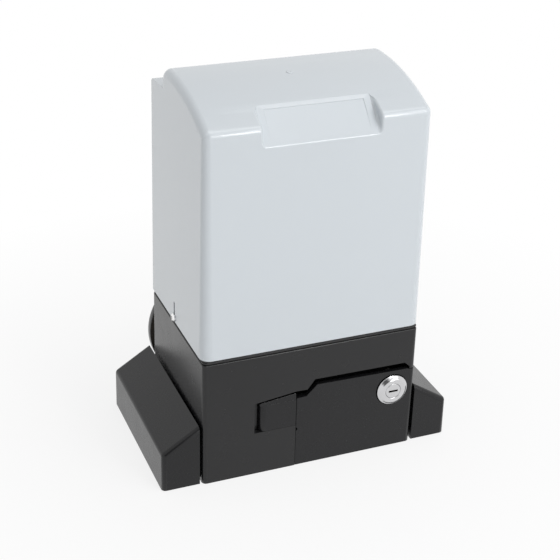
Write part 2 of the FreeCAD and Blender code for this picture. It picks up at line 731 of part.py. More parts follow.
def foot_cover(name):
    """The right-hand foot cover; the left one is its mirror image."""
    body = new_body(name)
    item = sketch(body, "XZ", "section", D.foot_rear)
    outline(item, foot_profile(0, D.foot_clear))
    shell = pad(body, item, D.foot_front + D.foot_rear)
    near = HALF_WIDTH + D.foot_gap
    fillet(body, shell, lambda box: box.XMax > near.value + 1 and box.ZMax > 1, D.foot_round)
    item = sketch(body, "XZ", "hollow", D.foot_rear - D.foot_wall)
    outline(item, foot_profile(D.foot_wall, D.foot_clear - 1))
    pocket(body, item, D.foot_front + D.foot_rear - 2 * D.foot_wall, back=True)
    item = sketch(body, "YZ", "ear_slot", near - 1)
    rectangle(item, -D.ear_front - 0.8, D.ear_rear + 0.8, -1, D.ear_thick + 0.6)
    pocket(body, item, D.foot_wall + 2, back=True)
    # posts under the roof that rest on the ear
    item = sketch(body, "XY", "posts", D.ear_thick + 0.1)
    for y in (-D.ear_front + 26, D.ear_rear - 26):
        circle(item, near + 4.5, y, 3.5)
    pad(body, item, D.foot_inner_height - 6.3 - D.ear_thick - 0.1)
    return finish(body, name)


def mirrored(name, source):
    """The left-hand twin of a right-hand part."""
    item = doc.addObject("Part::Mirroring", name)
    item.Source = source
    item.Normal = V(1, 0, 0)
    return finish(item, name)


def cover_form(name, inset):
    """The outside of the cover, or with an inset the hollow inside it."""
    body = new_body(name)
    item = sketch(body, "XY", "footprint", D.base_height + D.cover_seat)
    half_x, half_y = D.cover_width / 2 - inset, D.cover_depth / 2 - inset
    rear = half_y + D.cover_overhang
    rounded(item, -half_x, half_x, -half_y, rear, D.cover_edge - inset)
    pad(body, item, D.crest_height - D.base_height + 12, draft=D.cover_draft)

    # side profile: arched top, step down to the rear ledge, leaning rear face
    item = sketch(body, "YZ", "profile")
    top = D.crest_height - inset
    front = FRONT - 12
    radius, reach = D.arch_radius - inset, D.crest_place - front
    front_height = top - radius + root(radius * radius - reach * reach)
    step = D.crest_place + D.crest_flat + D.rear_round - inset
    ledge = top - D.ledge_drop
    back = rear - D.rear_lean
    outside = rear + 20
    outline(item, [
        (front, front_height, -radius), (D.crest_place, top), (step - D.rear_round, top, -D.rear_round),
        (step, top - D.rear_round), (step, ledge), (back - D.ledge_round, ledge, -D.ledge_round),
        (back, ledge - D.ledge_round), (rear, D.base_height + 2), (outside, D.base_height + 2),
        (outside, top + 20), (front, top + 20),
    ])
    form = pocket(body, item, 2 * D.cover_width, both=True)
    return body, form


def facet(body, inset):
    """The sloping facet cut into the cover's upper front edge."""
    item = sketch(body, "YZ", "facet", D.plate_place)
    # the facet's plane moves inwards with the wall
    shift = inset * 0.7
    low_y, low_z = FRONT + 2.0 + shift, D.crest_height - D.plate_front - shift
    high_y, high_z = FRONT + 2.0 + D.plate_back + shift, D.crest_height - D.plate_top - shift
    outline(item, [(low_y - 9.4, low_z - 10), (high_y + 9.4, high_z + 10),
                   (high_y + 9.4, D.crest_height + 20),
                   (low_y - 30, D.crest_height + 20), (low_y - 30, low_z - 10)])
    return pocket(body, item, D.plate_width + 2 * inset, both=True)


def cover():
    """The moulded cover: an outside form less an inside one, with slots over its screws."""
    outer, form = cover_form("cover_outside", 0)
    above = (D.crest_height - D.ledge_drop).value - 20
    rear = (D.crest_place + D.crest_flat + D.rear_round).value + 1
    fillet(outer, form,
           lambda box: box.ZMin > above and box.YMax < rear and (box.XLength < 20 or box.YMax < -60),
           D.cover_top_round)
    cut = facet(outer, 0)
    near, far = (D.plate_place - D.plate_width / 2).value, (D.plate_place + D.plate_width / 2).value
    low = (D.crest_height - D.plate_front).value
    fillet(outer, cut, lambda box: box.XLength < 0.01 and min(abs(box.XMin - near),
                                                              abs(box.XMin - far)) < 0.01
           or box.ZLength < 0.01 and abs(box.XMin - near) < 0.01 and abs(box.ZMin - low) < 4, D.plate_round)
    inner, form = cover_form("cover_inside", D.cover_wall)
    facet(inner, D.cover_wall)
    shell = cut_from("cover_shell", outer, inner)
    # slots over the side screws, open at the lower edge
    slots = block("cover_slots", -HALF_WIDTH - 5, HALF_WIDTH + 5,
                  D.cover_screw_place - D.cover_slot / 2, D.cover_screw_place + D.cover_slot / 2,
                  D.base_height - 5, D.cover_slot_top)
    return finish(cut_from("cover", shell, slots), "cover")


def cover_seal():
    """Rubber strip in the rim band, with a bead that the cover's lower edge closes on."""
    body = new_body("cover_seal")
    top, bottom = D.base_height - 0.2, D.base_height - D.rim_height + 0.1
    for name, low, high, proud in (("strip", bottom, top, 0.9), ("bead", bottom + 1.2, bottom + 2.3, 0.2)):
        item = sketch(body, "XY", name, low)
        outside, inside = proud + 0.6, D.rim_recess + 0.55
        rounded(item, outside - HALF_WIDTH, HALF_WIDTH - outside, FRONT + outside, REAR - outside, 3.5)
        rounded(item, inside - HALF_WIDTH, HALF_WIDTH - inside, FRONT + inside, REAR - inside, 3)
        pad(body, item, high - low)
    return finish(body, "cover_seal")


def cover_screws():
    """Two button-head screws through the cover's side slots into the lugs."""
    screws = []
    face = D.cover_width / 2
    for side, turn in ((1, 90), (-1, -90)):
        screw = turned(f"cover_screw_{side}", [(0, -7.0), (1.5, -7.0), (1.5, 0), (3.6, 0), (3.6, 0.9),
                                               (2.4, 2.2), (1.6, 2.2), (1.6, 0.9), (0, 0.9)])
        place(screw, side * face, D.cover_screw_place, D.cover_screw_height, V(0, 1, 0), turn)
        screws.append(screw)
    return group("cover_screws", screws)


def levelling_screws():
    """Grub screws in the ears that set the height above the foundation plate."""
    screws = []
    for number, x in enumerate((-ANCHOR_X, ANCHOR_X)):
        for side in (-1, 1):
            screw = turned(f"leveller_{number}_{side}", [(0, 0.4), (3, 0.4), (5, 2.0), (5, 15.5), (4.2, 16.3),
                                                         (2.5, 16.3), (2.5, 11), (0, 11)])
            place(screw, x, side * D.leveller_spacing_y / 2, 0)
            screws.append(screw)
    return group("levelling_screws", screws)


# --- worm wheel, output shaft and clutch -------------------------------------------------------------------

ALONG_Y = (V(1, 0, 0), -90)                 # turns a part's own Z axis to +Y
WHEEL_PITCH = D.worm_module * D.wheel_teeth / 2
PIN_PLACE = D.wheel_width / 2 + D.dog_height + D.dog_play + 7.5      # cross pin along the output shaft


def involute(angle):
    return math.tan(angle) - angle


def tooth_gap(item, module, teeth, play, root_radius, reach):
    """Outline of one gap between involute teeth, centred on the sketch's X axis."""
    pitch = module * teeth / 2
    pressure = math.radians(20)
    base = pitch * math.cos(pressure)
    half_tooth = (math.pi * module / 2 - play) / 2 / pitch

    def flank(radius):
        roll = math.acos(min(base / radius, 1.0))
        angle = math.pi / teeth - half_tooth - involute(pressure) + involute(roll)
        return V(radius * math.cos(angle), radius * math.sin(angle), 0)

    inner = max(base * 1.002, root_radius + 0.05)
    low, middle, high = flank(inner), flank((inner + reach) / 2), flank(reach)
    foot = V(math.sqrt(root_radius ** 2 - low.y ** 2), low.y, 0)
    mirror = [V(one.x, -one.y, 0) for one in (foot, low, middle, high)]
    item.addGeometry([
        Part.LineSegment(mirror[0], mirror[1]), Part.Arc(*mirror[1:]), Part.LineSegment(mirror[3], high),
        Part.Arc(high, middle, low), Part.LineSegment(low, foot), Part.LineSegment(foot, mirror[0]),
    ], False)
    for number in range(6):
        item.addConstraint(Sketcher.Constraint("Block", number))


def output_pinion():
    body = new_body("output_pinion")
    pitch = D.rack_module * D.pinion_teeth / 2
    tip, bore = pitch + D.rack_module, D.shaft_rear_radius + D.running_gap
    bottom, top = D.pinion_front, D.pinion_front + D.pinion_width
    revolve(body, "blank", [(bore, bottom), (tip - 1.2, bottom), (tip, bottom + 1.2), (tip, top - 1.2),
                            (tip - 1.2, top), (bore, top)])
    item = sketch(body, "XY", "tooth_gap", top + 1)
    tooth_gap(item, D.rack_module.value, int(D.pinion_teeth.value), 0.2,
              (pitch - 1.25 * D.rack_module).value, tip.value + 1.5)
    gap = pocket(body, item, D.pinion_width + 2)
    around(body, gap, D.pinion_teeth)
    item = sketch(body, "XY", "keyway", top + 1)
    rectangle(item, -4.05, 4.05, -bore - 3.3, 0)
    pocket(body, item, D.pinion_width + 2)
    place(body, D.gear_x, 0, D.gear_z, *ALONG_Y)
    return finish(body, "output_pinion")


def worm_wheel():
    """Bronze wheel with slanted teeth, a throat that follows the worm and clutch dogs on its rear face."""
    body = new_body("worm_wheel")
    tip = WHEEL_PITCH + D.worm_module
    rim, half = tip + 1.5, D.wheel_width / 2
    bore = D.shaft_radius + D.running_gap
    front, web = D.chamber_front + 0.6, 6
    revolve(body, "blank", [
        (bore, front), (20, front), (20, -web), (31, -web), (31, -half), (rim - 1, -half), (rim, -half + 1),
        (rim, half - 1), (rim - 1, half), (31, half), (31, web), (21.5, web), (21.5, half), (bore, half)])
    # throat: an arc about the worm's axis
    item = sketch(body, "XZ", "throat")
    centre = WHEEL_PITCH + D.worm_pitch_radius
    circle(item, centre, 0, centre - tip)
    groove = body.newObject("PartDesign::Groove", "throat_turned")
    groove.Profile = item
    groove.ReferenceAxis = (item, ["V_Axis"])
    groove.Angle = 360
    cuts.append(groove)
    item = sketch(body, "XY", "tooth_gap")
    tooth_gap(item, D.worm_module.value, int(D.wheel_teeth.value), D.worm_backlash.value / 2,
              (WHEEL_PITCH - 1.25 * D.worm_module).value, rim.value + 1)
    gap = pocket(body, item, D.wheel_width + 6, both=True)
    gap.UseCustomVector = True
    gap.Direction = V(0, D.worm_module.value / 2 / D.worm_pitch_radius.value, 1)
    around(body, gap, D.wheel_teeth)
    # lightening holes in the web
    item = sketch(body, "XY", "web_hole", web + 1)
    circle(item, 26, 0, 3.2)
    hole = pocket(body, item, 2 * web + 2)
    around(body, hole, 6)
    dogs(body, half, D.dog_height, 0)
    place(body, D.gear_x, 0, D.gear_z, *ALONG_Y)
    return finish(body, "worm_wheel")


def dogs(body, bottom, height, turn):
    """Four clutch dogs, each a straight-sided block on the ring, turned by a multiple of 45 degrees."""
    item = sketch(body, "XY", "dog", bottom)
    inner, outer, half = D.shaft_radius + 1.5, D.sleeve_radius, 4.3
    if turn:
        slant = math.sqrt(0.5)
        corners = [(inner, -half), (outer - 1, -half), (outer - 1, half), (inner, half)]
        outline(item, [((size(x) - y) * slant, (size(x) + y) * slant) for x, y in corners])
    else:
        rectangle(item, inner, outer - 1, -half, half)
    feature = pad(body, item, height)
    around(body, feature, 4)


def clutch_sleeve():
    """Sliding half of the dog clutch, carried round by the cross pin."""
    body = new_body("clutch_sleeve")
    bottom = D.wheel_width / 2 + D.dog_height + D.dog_play
    top = bottom + D.sleeve_length
    bore, outer = D.shaft_radius + D.running_gap, D.sleeve_radius
    revolve(body, "blank", [(bore, bottom), (outer, bottom), (outer, top - 5), (17, top - 5), (17, top - 1),
                            (16, top),
                            (bore, top)])
    dogs(body, bottom - D.dog_height, D.dog_height, 45)
    item = sketch(body, "XZ", "pin_hole", -30)
    circle(item, 0, PIN_PLACE, D.cross_pin_radius + 0.02)
    pocket(body, item, 60)
    place(body, D.gear_x, 0, D.gear_z, *ALONG_Y)
    return finish(body, "clutch_sleeve")


def clutch_pin():
    pin = cylinder("clutch_pin", D.cross_pin_radius, 2 * D.sleeve_radius - 1,
                   D.gear_x, PIN_PLACE, D.gear_z - D.sleeve_radius + 0.5)
    return finish(pin, "clutch_pin")


def output_shaft():
    body = new_body("output_shaft")
    slim, stout = D.shaft_radius, D.shaft_rear_radius
    collar, seat = D.barrel_rear - 14, D.barrel_rear - 8
    end = D.pinion_front + D.pinion_width - 1
    revolve(body, "profile", [
        (0, D.chamber_front - 11), (slim - 1, D.chamber_front - 11), (slim, D.chamber_front - 10),
        (slim, collar),
        (14.5, collar), (14.5, seat), (stout, seat), (stout, end - 1), (stout - 1, end), (0, end)])
    # hollow for the release rod, slot for the cross pin, keyway, tapped end
    low = PIN_PLACE + D.clutch_travel + D.cross_pin_radius + 0.6
    tube(body, "rod_hollow", 0, D.rod_radius + 0.15, D.chamber_front - 12, low, cut=True)
    item = sketch(body, "XZ", "pin_slot", -20)
    first = PIN_PLACE - D.cross_pin_radius - 0.6
    rectangle(item, -D.cross_pin_radius - 0.05, D.cross_pin_radius + 0.05, first, low)
    pocket(body, item, 40)
    item = sketch(body, "XZ", "keyway", -stout - 1)
    rectangle(item, -4.03, 4.03, D.pinion_front + 1, D.pinion_front + D.pinion_width)
    pocket(body, item, 5, back=False)
    tube(body, "tapped_end", 0, 4.2, end - 22, end + 1, cut=True)
    place(body, D.gear_x, 0, D.gear_z, *ALONG_Y)
    return finish(body, "output_shaft")


def pinion_key():
    """Key in the top of the shaft: the part's own -Y points up once it lies along the shaft."""
    top = D.gear_z + D.shaft_rear_radius
    key = block("pinion_key", D.gear_x - 4, D.gear_x + 4, D.pinion_front + 1.2,
                D.pinion_front + D.pinion_width - 1.2,
                top - 3.95, top + 3.0)
    return finish(key, "pinion_key")


def pinion_fixing():
    """Washer and bolt on the end of the output shaft."""
    face = D.pinion_front + D.pinion_width + 0.02
    washer = turned("pinion_washer", [(4.6, face), (18, face), (18, face + 3.5), (17.5, face + 4),
                                      (4.6, face + 4)])
    place(washer, D.gear_x, 0, D.gear_z, *ALONG_Y)
    finish(washer, "pinion_washer")
    body = new_body("pinion_bolt")
    revolve(body, "shank", [(0, face - 20), (4, face - 20), (4, face + 4), (6.3, face + 4),
                            (6.3, face + 10.2),
                            (0, face + 10.2)])
    hexagon(body, face + 4.2, 6.5, 6)
    place(body, D.gear_x, 0, D.gear_z, *ALONG_Y)
    finish(body, "pinion_bolt")


def hexagon(body, bottom, flat_radius, height, x=0, y=0):
    """A hexagonal head or nut, given the radius to its flats."""
    item = sketch(body, "XY", "hexagon", bottom)
    reach = size(flat_radius) / math.cos(math.radians(30))
    points = []
    for number in range(6):
        angle = math.radians(60 * number + 30)
        points.append((x + reach * round(math.cos(angle), 6), y + reach * round(math.sin(angle), 6)))
    outline(item, points)
    return pad(body, item, height)


def bearing(name, bore, outer, width, at, across=False):
    """A sealed ball bearing: two rings with the recessed shields between them."""
    third = (size(outer) - bore) * 0.28
    inner, rim = bore + third, outer - third
    item = turned(name, [
        (bore, 0.5), (bore + 0.5, 0), (inner, 0), (inner, 0.7), (rim, 0.7), (rim, 0), (outer - 0.5, 0),
        (outer, 0.5),
        (outer, width - 0.5), (outer - 0.5, width), (rim, width), (rim, width - 0.7), (inner, width - 0.7),
        (inner, width), (bore + 0.5, width), (bore, width - 0.5)])
    if across:
        place(item, D.gear_x, at, D.gear_z, *ALONG_Y)
    else:
        place(item, WORM_X, 0, at)
    return finish(item, name)


def clutch_spring():
    """Flat-wire spring that holds the clutch in mesh, between the sleeve and the shaft's collar."""
    body = new_body("clutch_spring")
    half, clear = D.spring_wire / 2, 0.15
    bottom = D.wheel_width / 2 + D.dog_height + D.dog_play + D.sleeve_length + half + clear
    top = D.barrel_rear - 14 - half - clear
    item = sketch(body, "XZ", "wire")
    rectangle(item, D.spring_radius - half, D.spring_radius + half, bottom - half, bottom + half)
    helix = body.newObject("PartDesign::AdditiveHelix", "coil")
    helix.Profile = item
    helix.ReferenceAxis = (origin(body, "Z_Axis"), "")
    helix.Mode = 0
    bind(helix, "Height", top - bottom)
    bind(helix, "Pitch", (top - bottom) / D.spring_turns)
    place(body, D.gear_x, 0, D.gear_z, *ALONG_Y)
    return finish(body, "clutch_spring")


def gear_cover():
    """Round cover that closes the oil chamber and holds the rear bearing and the shaft seal."""
    body = new_body("gear_cover")
    face = D.barrel_rear + D.gasket_thick
    back = face + D.gear_cover_thick
    seat, bearing_seat, seal_seat = D.barrel_rear - 8, 26 + D.seat_gap, 20 + D.seat_gap
    spigot = D.chamber_radius - 0.05
    revolve(body, "profile", [
        (bearing_seat, seat), (31, seat), (31, face), (spigot - 5, face), (spigot - 5, face - 5),
        (spigot, face - 5), (spigot, face), (D.gear_cover_radius, face), (D.gear_cover_radius, back - 3, -3),
        (D.gear_cover_radius - 3, back), (32, back), (30, back + 3.5), (seal_seat, back + 3.5),
        (seal_seat, seat + 15.2), (bearing_seat, seat + 15.2)])
    item = sketch(body, "XY", "screw_holes", back + 1)
    for x, z in gear_cover_screw_places():
        circle(item, x - D.gear_x, D.gear_z - z, 2.8)
    pocket(body, item, D.gear_cover_thick + 8)
    item = sketch(body, "XY", "screw_seats", back + 1)
    for x, z in gear_cover_screw_places():
        circle(item, x - D.gear_x, D.gear_z - z, 4.8)
    pocket(body, item, 6)
    place(body, D.gear_x, 0, D.gear_z, *ALONG_Y)
    return finish(body, "gear_cover")


def gear_cover_gasket():
    body = new_body("gear_cover_gasket")
    tube(body, "ring", D.chamber_radius + 0.1, D.gear_cover_radius - 0.6, D.barrel_rear,
         D.barrel_rear + D.gasket_thick)
    item = sketch(body, "XY", "holes", D.barrel_rear + 2)
    for x, z in gear_cover_screw_places():
        circle(item, x - D.gear_x, D.gear_z - z, 2.8)
    pocket(body, item, 4)
    place(body, D.gear_x, 0, D.gear_z, *ALONG_Y)
    return finish(body, "gear_cover_gasket")


def socket_screw(name, radius, head_radius, head, length):
    """A socket-head screw along +Z, its head above 0."""
    body = new_body(name)
    revolve(body, "turned", [(0, -size(length)), (radius, -size(length)), (radius, 0), (head_radius, 0),
                             (head_radius, head - 0.4), (head_radius - 0.4, head), (0, head)])
    item = sketch(body, "XY", "socket", head + 1)
    reach = radius * 0.95
    outline(item, [(reach * round(math.cos(math.radians(60 * n)), 6),
                    reach * round(math.sin(math.radians(60 * n)), 6))
                   for n in range(6)])
    pocket(body, item, 1 + radius)
    return body


def gear_cover_screws():
    screws = []
    seat = D.barrel_rear + D.gasket_thick + D.gear_cover_thick - 5
    for number, (x, z) in enumerate(gear_cover_screw_places()):
        screw = socket_screw(f"gear_cover_screw_{number}", 2.48, 4.2, 5, 16)
        place(screw, x, seat, z, *ALONG_Y)
        screws.append(screw)
    return group("gear_cover_screws", screws)


def shaft_seal():
    bottom = D.barrel_rear - 8 + 15.6
    top = D.barrel_rear + D.gasket_thick + D.gear_cover_thick + 3.2
    lip, outer = D.shaft_rear_radius + D.running_gap, 20
    item = turned("shaft_seal", [(lip + 1, bottom), (outer, bottom), (outer, top), (17, top), (17, top - 1.2),
                                 (lip + 1.6, top - 1.2), (lip, top - 2.2), (lip, bottom + 1)])
    place(item, D.gear_x, 0, D.gear_z, *ALONG_Y)
    return finish(item, "shaft_seal")


# --- motor and worm ----------------------------------------------------------------------------------------

STACK_TOP = D.stack_bottom + D.stack_length
BELL_TOP = STACK_TOP + 28                   # outer face of the upper bell
WORM_PITCH = D.worm_module * math.pi
WORM_TURNS = 5


def worm_shaft():
    """Rotor shaft with the worm cut on its lower end."""
    body = new_body("worm_shaft")
    root_radius = D.worm_pitch_radius - 1.25 * D.worm_module
    low, high = D.gear_z - 23, D.gear_z + 23
    revolve(body, "profile", [
        (0, D.worm_shaft_bottom), (7, D.worm_shaft_bottom), (7.5, D.worm_shaft_bottom + 0.5), (7.5, 29.5),
        (9, 29.5),
        (root_radius, low - 6), (root_radius, high + 6), (10.5, high + 10), (10.5, 99), (8.5, 99),
        (8.5, D.stack_bottom - 8), (11, D.stack_bottom - 8), (11, STACK_TOP + 8), (7.5, STACK_TOP + 8),
        (7.5, BELL_TOP + 24), (7, BELL_TOP + 24.5), (0, BELL_TOP + 24.5)])
    # thread: five turns centred on the wheel, on the wheel's side in step with a gap between its teeth
    middle = D.gear_z - WORM_TURNS / 2 * WORM_PITCH
    half = WORM_PITCH / 4 - D.worm_backlash / 4
    slope = math.tan(math.radians(20))
    sunk = 1.25 * D.worm_module + 0.4
    item = sketch(body, "XZ", "thread_section")
    outline(item, [
        (root_radius - 0.4, middle - half - sunk * slope), (D.worm_pitch_radius + D.worm_module,
                                                            middle - half + D.worm_module * slope),
        (D.worm_pitch_radius + D.worm_module, middle + half - D.worm_module * slope),
        (root_radius - 0.4, middle + half + sunk * slope)])
    helix = body.newObject("PartDesign::AdditiveHelix", "thread")
    helix.Profile = item
    helix.ReferenceAxis = (origin(body, "Z_Axis"), "")
    helix.Mode = 0
    bind(helix, "Pitch", WORM_PITCH)
    bind(helix, "Height", WORM_PITCH * WORM_TURNS)
    place(body, WORM_X, 0, 0)
    return finish(body, "worm_shaft")


def rotor_core():
    """Laminated rotor with its cast end rings."""
    bore, ring = 11 + D.running_gap / 2, D.stator_bore - 2.5
    low, high, outside = D.stack_bottom, STACK_TOP, D.stator_bore - D.air_gap
    item = turned("rotor_core", [
        (bore, low), (18, low), (18, low - 5), (ring, low - 5), (ring, low), (outside, low), (outside, high),
        (ring, high), (ring, high + 5), (18, high + 5), (18, high), (bore, high)])
    place(item, WORM_X, 0, 0)
    return finish(item, "rotor_core")


def cooling_fan():
    """Radial fan above the motor: hub, disc and eight blades."""
    body = new_body("cooling_fan")
    low = BELL_TOP + 10
    bore = 7.5 + D.running_gap / 2
    revolve(body, "hub", [(bore, low), (12, low), (12, low + 2), (D.fan_radius, low + 2),
                          (D.fan_radius, low + 4),
                          (12, low + 4), (12, low + 12), (bore, low + 12)])
    item = sketch(body, "XY", "blade", low + 3)
    rectangle(item, 11, D.fan_radius - 1, -0.8, 0.8)
    blade = pad(body, item, 9)
    around(body, blade, 8)
    place(body, WORM_X, 0, 0)
    return finish(body, "cooling_fan")


def bell_ears(body, low, height, bore):
    """Four ears round an end bell for the through-bolts."""
    item = sketch(body, "XY", "ears", low)
    for x, y in bolt_places():
        circle(item, x, y, D.motor_ear_radius)
    pad(body, item, height)
    item = sketch(body, "XY", "ear_holes", size(low) + height + 1)
    for x, y in bolt_places():
        circle(item, x, y, bore)
    pocket(body, item, size(height) + 2)


def bolt_places():
    """Through-bolts round the motor's axis."""
    return [(D.bolt_circle, 0), (0, D.bolt_circle), (-D.bolt_circle, 0), (0, -D.bolt_circle)]


def motor_flange():
    """Lower end bell: it closes the worm bore and carries the main bearing and the stator."""
    body = new_body("motor_flange")
    low, floor = D.deck_height, D.deck_height + D.bell_floor
    inside, rebate = D.bell_radius - 5, D.motor_radius + D.running_gap
    revolve(body, "profile", [
        (11.5, low), (D.bell_radius, low), (D.bell_radius, D.stack_bottom + 6), (rebate, D.stack_bottom + 6),
        (rebate, D.stack_bottom), (inside, D.stack_bottom), (inside, floor), (24, floor), (22, floor + 1.5),
        (11.5, floor + 1.5)])
    bell_ears(body, D.stack_bottom - 6, 12, D.bolt_radius + 0.05)
    # round the ears off inside the stator's seat
    tube(body, "stack_seat", 0, rebate, D.stack_bottom, D.stack_bottom + 8, cut=True)
    item = sketch(body, "XY", "flange_holes", floor + 3)
    for across in (-1, 1):
        for along in (-1, 1):
            circle(item, across * BOLT_REACH, along * BOLT_REACH, 3.3)
    pocket(body, item, 12)
    place(body, WORM_X, 0, 0)
    return finish(body, "motor_flange")


def flange_screws():
    """Screws that hold the motor flange down on the deck."""
    screws = []
    for across in (-1, 1):
        for along in (-1, 1):
            screw = socket_screw(f"flange_screw_{across}_{along}", 2.98, 4.9, 3.6, 11)
            place(screw, WORM_X + across * BOLT_REACH, along * BOLT_REACH,
                  D.deck_height + D.bell_floor + 0.02)
            screws.append(screw)
    return group("flange_screws", screws)


def motor_upper_bell():
    body = new_body("motor_upper_bell")
    inside, rebate = D.bell_radius - 5, D.motor_radius + D.running_gap
    roof = BELL_TOP - D.bell_floor
    seat = 17.5 + D.seat_gap
    revolve(body, "profile", [
        (8.5, BELL_TOP + 3), (8.5, BELL_TOP + 6), (20, BELL_TOP + 6), (22, BELL_TOP),
        (D.bell_radius - 3, BELL_TOP),
        (D.bell_radius, BELL_TOP - 3), (D.bell_radius, STACK_TOP - 6), (rebate, STACK_TOP - 6),
        (rebate, STACK_TOP),
        (inside, STACK_TOP), (inside, roof), (22, roof), (20.5, BELL_TOP - 8), (seat, BELL_TOP - 8),
        (seat, BELL_TOP + 3)])
    bell_ears(body, STACK_TOP - 6, 12, D.bolt_radius + 0.1)
    tube(body, "stack_seat", 0, rebate, STACK_TOP - 8, STACK_TOP, cut=True)
    # air slots in the roof
    item = sketch(body, "XY", "air_slot", BELL_TOP + 1)
    rectangle(item, 29, 43, -2, 2)
    hole = pocket(body, item, D.bell_floor + 2)
    around(body, hole, 8)
    place(body, WORM_X, 0, 0)
    return finish(body, "motor_upper_bell")


def stator_core():
    """Laminated stack with slots for the windings along its bore."""
    body = new_body("stator_core")
    tube(body, "stack", D.stator_bore, D.motor_radius, D.stack_bottom + 0.05, STACK_TOP - 0.05)
    item = sketch(body, "XY", "slot", STACK_TOP + 1)
    rectangle(item, D.stator_bore - 2, D.stator_bore + 11, -1.8, 1.8)
    gap = pocket(body, item, D.stack_length + 2)
    around(body, gap, 16)
    place(body, WORM_X, 0, 0)
    return finish(body, "stator_core")


def stator_windings():
    """Copper end turns above and below the stack."""
    rings = []
    for name, low, high in (("lower", D.deck_height + D.bell_floor + 4, D.stack_bottom - 0.1),
                            ("upper", STACK_TOP + 0.1, STACK_TOP + 15)):
        ring = turned(f"winding_{name}", [(31, low + 2), (33, low), (44, low), (46, low + 2), (46, high - 2),
                                          (44, high), (33, high), (31, high - 2)])
        place(ring, WORM_X, 0, 0)
        rings.append(ring)
    return group("stator_windings", rings)


def through_bolts():
    """Four long bolts that clamp the bells on the stack."""
    bolts = []
    low, high = D.stack_bottom - 5.5, STACK_TOP + 6.02
    for number, (x, y) in enumerate(bolt_places()):
        bolt = socket_screw(f"through_bolt_{number}", D.bolt_radius, 3.3, 4, high - low)
        place(bolt, WORM_X + x, y, high)
        bolts.append(bolt)
    return group("through_bolts", bolts)


# --- release lever, door and lock --------------------------------------------------------------------------

LEVER_BACK = FRONT + D.lever_thick
ROD_TIP = PIVOT_Y + D.cam_start + 0.3       # front end of the release rod


def release_lever():
    """Cast lever: the tab in the front face, the cam round the hinge pin and the arm behind the door."""
    body = new_body("release_lever")
    item = sketch(body, "XY", "plan", D.tab_bottom)
    barrel, start = D.pivot_set, D.cam_start
    # the cam's radius grows evenly as the door swings, so the rod moves in step with it
    middle = (start + D.clutch_travel / 2) * math.sqrt(0.5)
    outline(item, [
        (PIVOT_X, FRONT), (D.door_seam - 0.5, FRONT), (D.door_seam - 0.5, LEVER_BACK + 1.5),
        (PIVOT_X + 9, LEVER_BACK + 1.5), (PIVOT_X + 3, PIVOT_Y + start), (PIVOT_X, PIVOT_Y + start, 16),
        (PIVOT_X - middle, PIVOT_Y + middle, 22), (PIVOT_X - start - D.clutch_travel, PIVOT_Y + 0.6),
        (PIVOT_X - start - D.clutch_travel, PIVOT_Y), (PIVOT_X - barrel, PIVOT_Y, barrel)])
    pad(body, item, D.tab_top - D.tab_bottom)
    # arm behind the door
    item = sketch(body, "XZ", "arm", FRONT + D.door_thick)
    outline(item, [(D.door_seam - 1, D.tab_bottom), (DOOR_RIGHT - 4, D.tab_bottom),
                   (DOOR_RIGHT - 4, D.door_high - 4),
                   (D.lock_x - 16, D.door_high - 4), (D.lock_x - 22, D.tab_top),
                   (D.door_seam - 1, D.tab_top)])
    pad(body, item, D.lever_thick - D.door_thick, back=True)
    item = sketch(body, "XY", "pivot_hole", D.tab_top + 1)
    circle(item, PIVOT_X, PIVOT_Y, D.pivot_radius + D.running_gap)
    pocket(body, item, D.tab_top - D.tab_bottom + 2)
    item = sketch(body, "XZ", "lock_hole", FRONT)
    circle(item, D.lock_x, D.lock_z, D.lock_barrel_radius + 0.1)
    for x, z in door_screw_places():
        circle(item, x, z, 1.7)
    pocket(body, item, D.lever_thick + 5, back=False)
    return finish(body, "release_lever")


def door_screw_places():
    middle = (D.tab_bottom + D.tab_top) / 2
    return [(D.door_seam + 12, middle), (D.door_seam + 52, middle)]


def release_door():
    """Moulded door over the lever, wrapped round the right-hand corner of the base."""
    body = new_body("release_door")
    right = HALF_WIDTH - 0.15
    item = sketch(body, "XZ", "face", FRONT)
    seam, notch = D.door_seam, D.tab_bottom - 6
    outline(item, [
        (seam, D.door_clear), (right, D.door_clear), (right - 0.3, D.door_right_edge),
        (DOOR_RIGHT - 1, D.door_right_edge), (DOOR_RIGHT - 2, D.door_high - 1.4), (seam + 18.2, D.door_high),
        (seam + 8.5, D.door_low + 0.3), (seam, D.door_low),
        (seam, notch + 4), (seam + 1.6, notch + 1.5), (seam, notch)])
    panel = pad(body, item, D.door_thick, back=True)
    item = sketch(body, "XZ", "return", FRONT)
    rectangle(item, right - 4, right, D.door_clear, D.door_right_edge)
    panel = pad(body, item, D.door_wrap, back=True)
    reach = right.value
    fillet(body, panel, lambda box: upright(box) and box.XMin > reach - 1 and box.YMax < FRONT.value + 1,
           D.base_edge)
    # left edge slanted behind its face, so that it swings out past the casting
    item = sketch(body, "XY", "left_relief", D.door_high + 1)
    outline(item, [(seam, FRONT + 0.8), (seam + D.door_relief, FRONT + D.door_thick + 0.5),
                   (seam - 1, FRONT + D.door_thick + 0.5), (seam - 1, FRONT + 0.8)])
    pocket(body, item, D.door_high + 1)
    # holes that the door screws bite in, and the hole for the lock
    item = sketch(body, "XZ", "lock_hole", FRONT - 1)
    circle(item, D.lock_x, D.lock_z, D.lock_barrel_radius + 0.1)
    pocket(body, item, D.door_thick + 2, back=False)
    item = sketch(body, "XZ", "screw_holes", FRONT + D.door_thick)
    for x, z in door_screw_places():
        circle(item, x, z, 1.2)
    pocket(body, item, 2.8, back=True)
    return finish(body, "release_door")


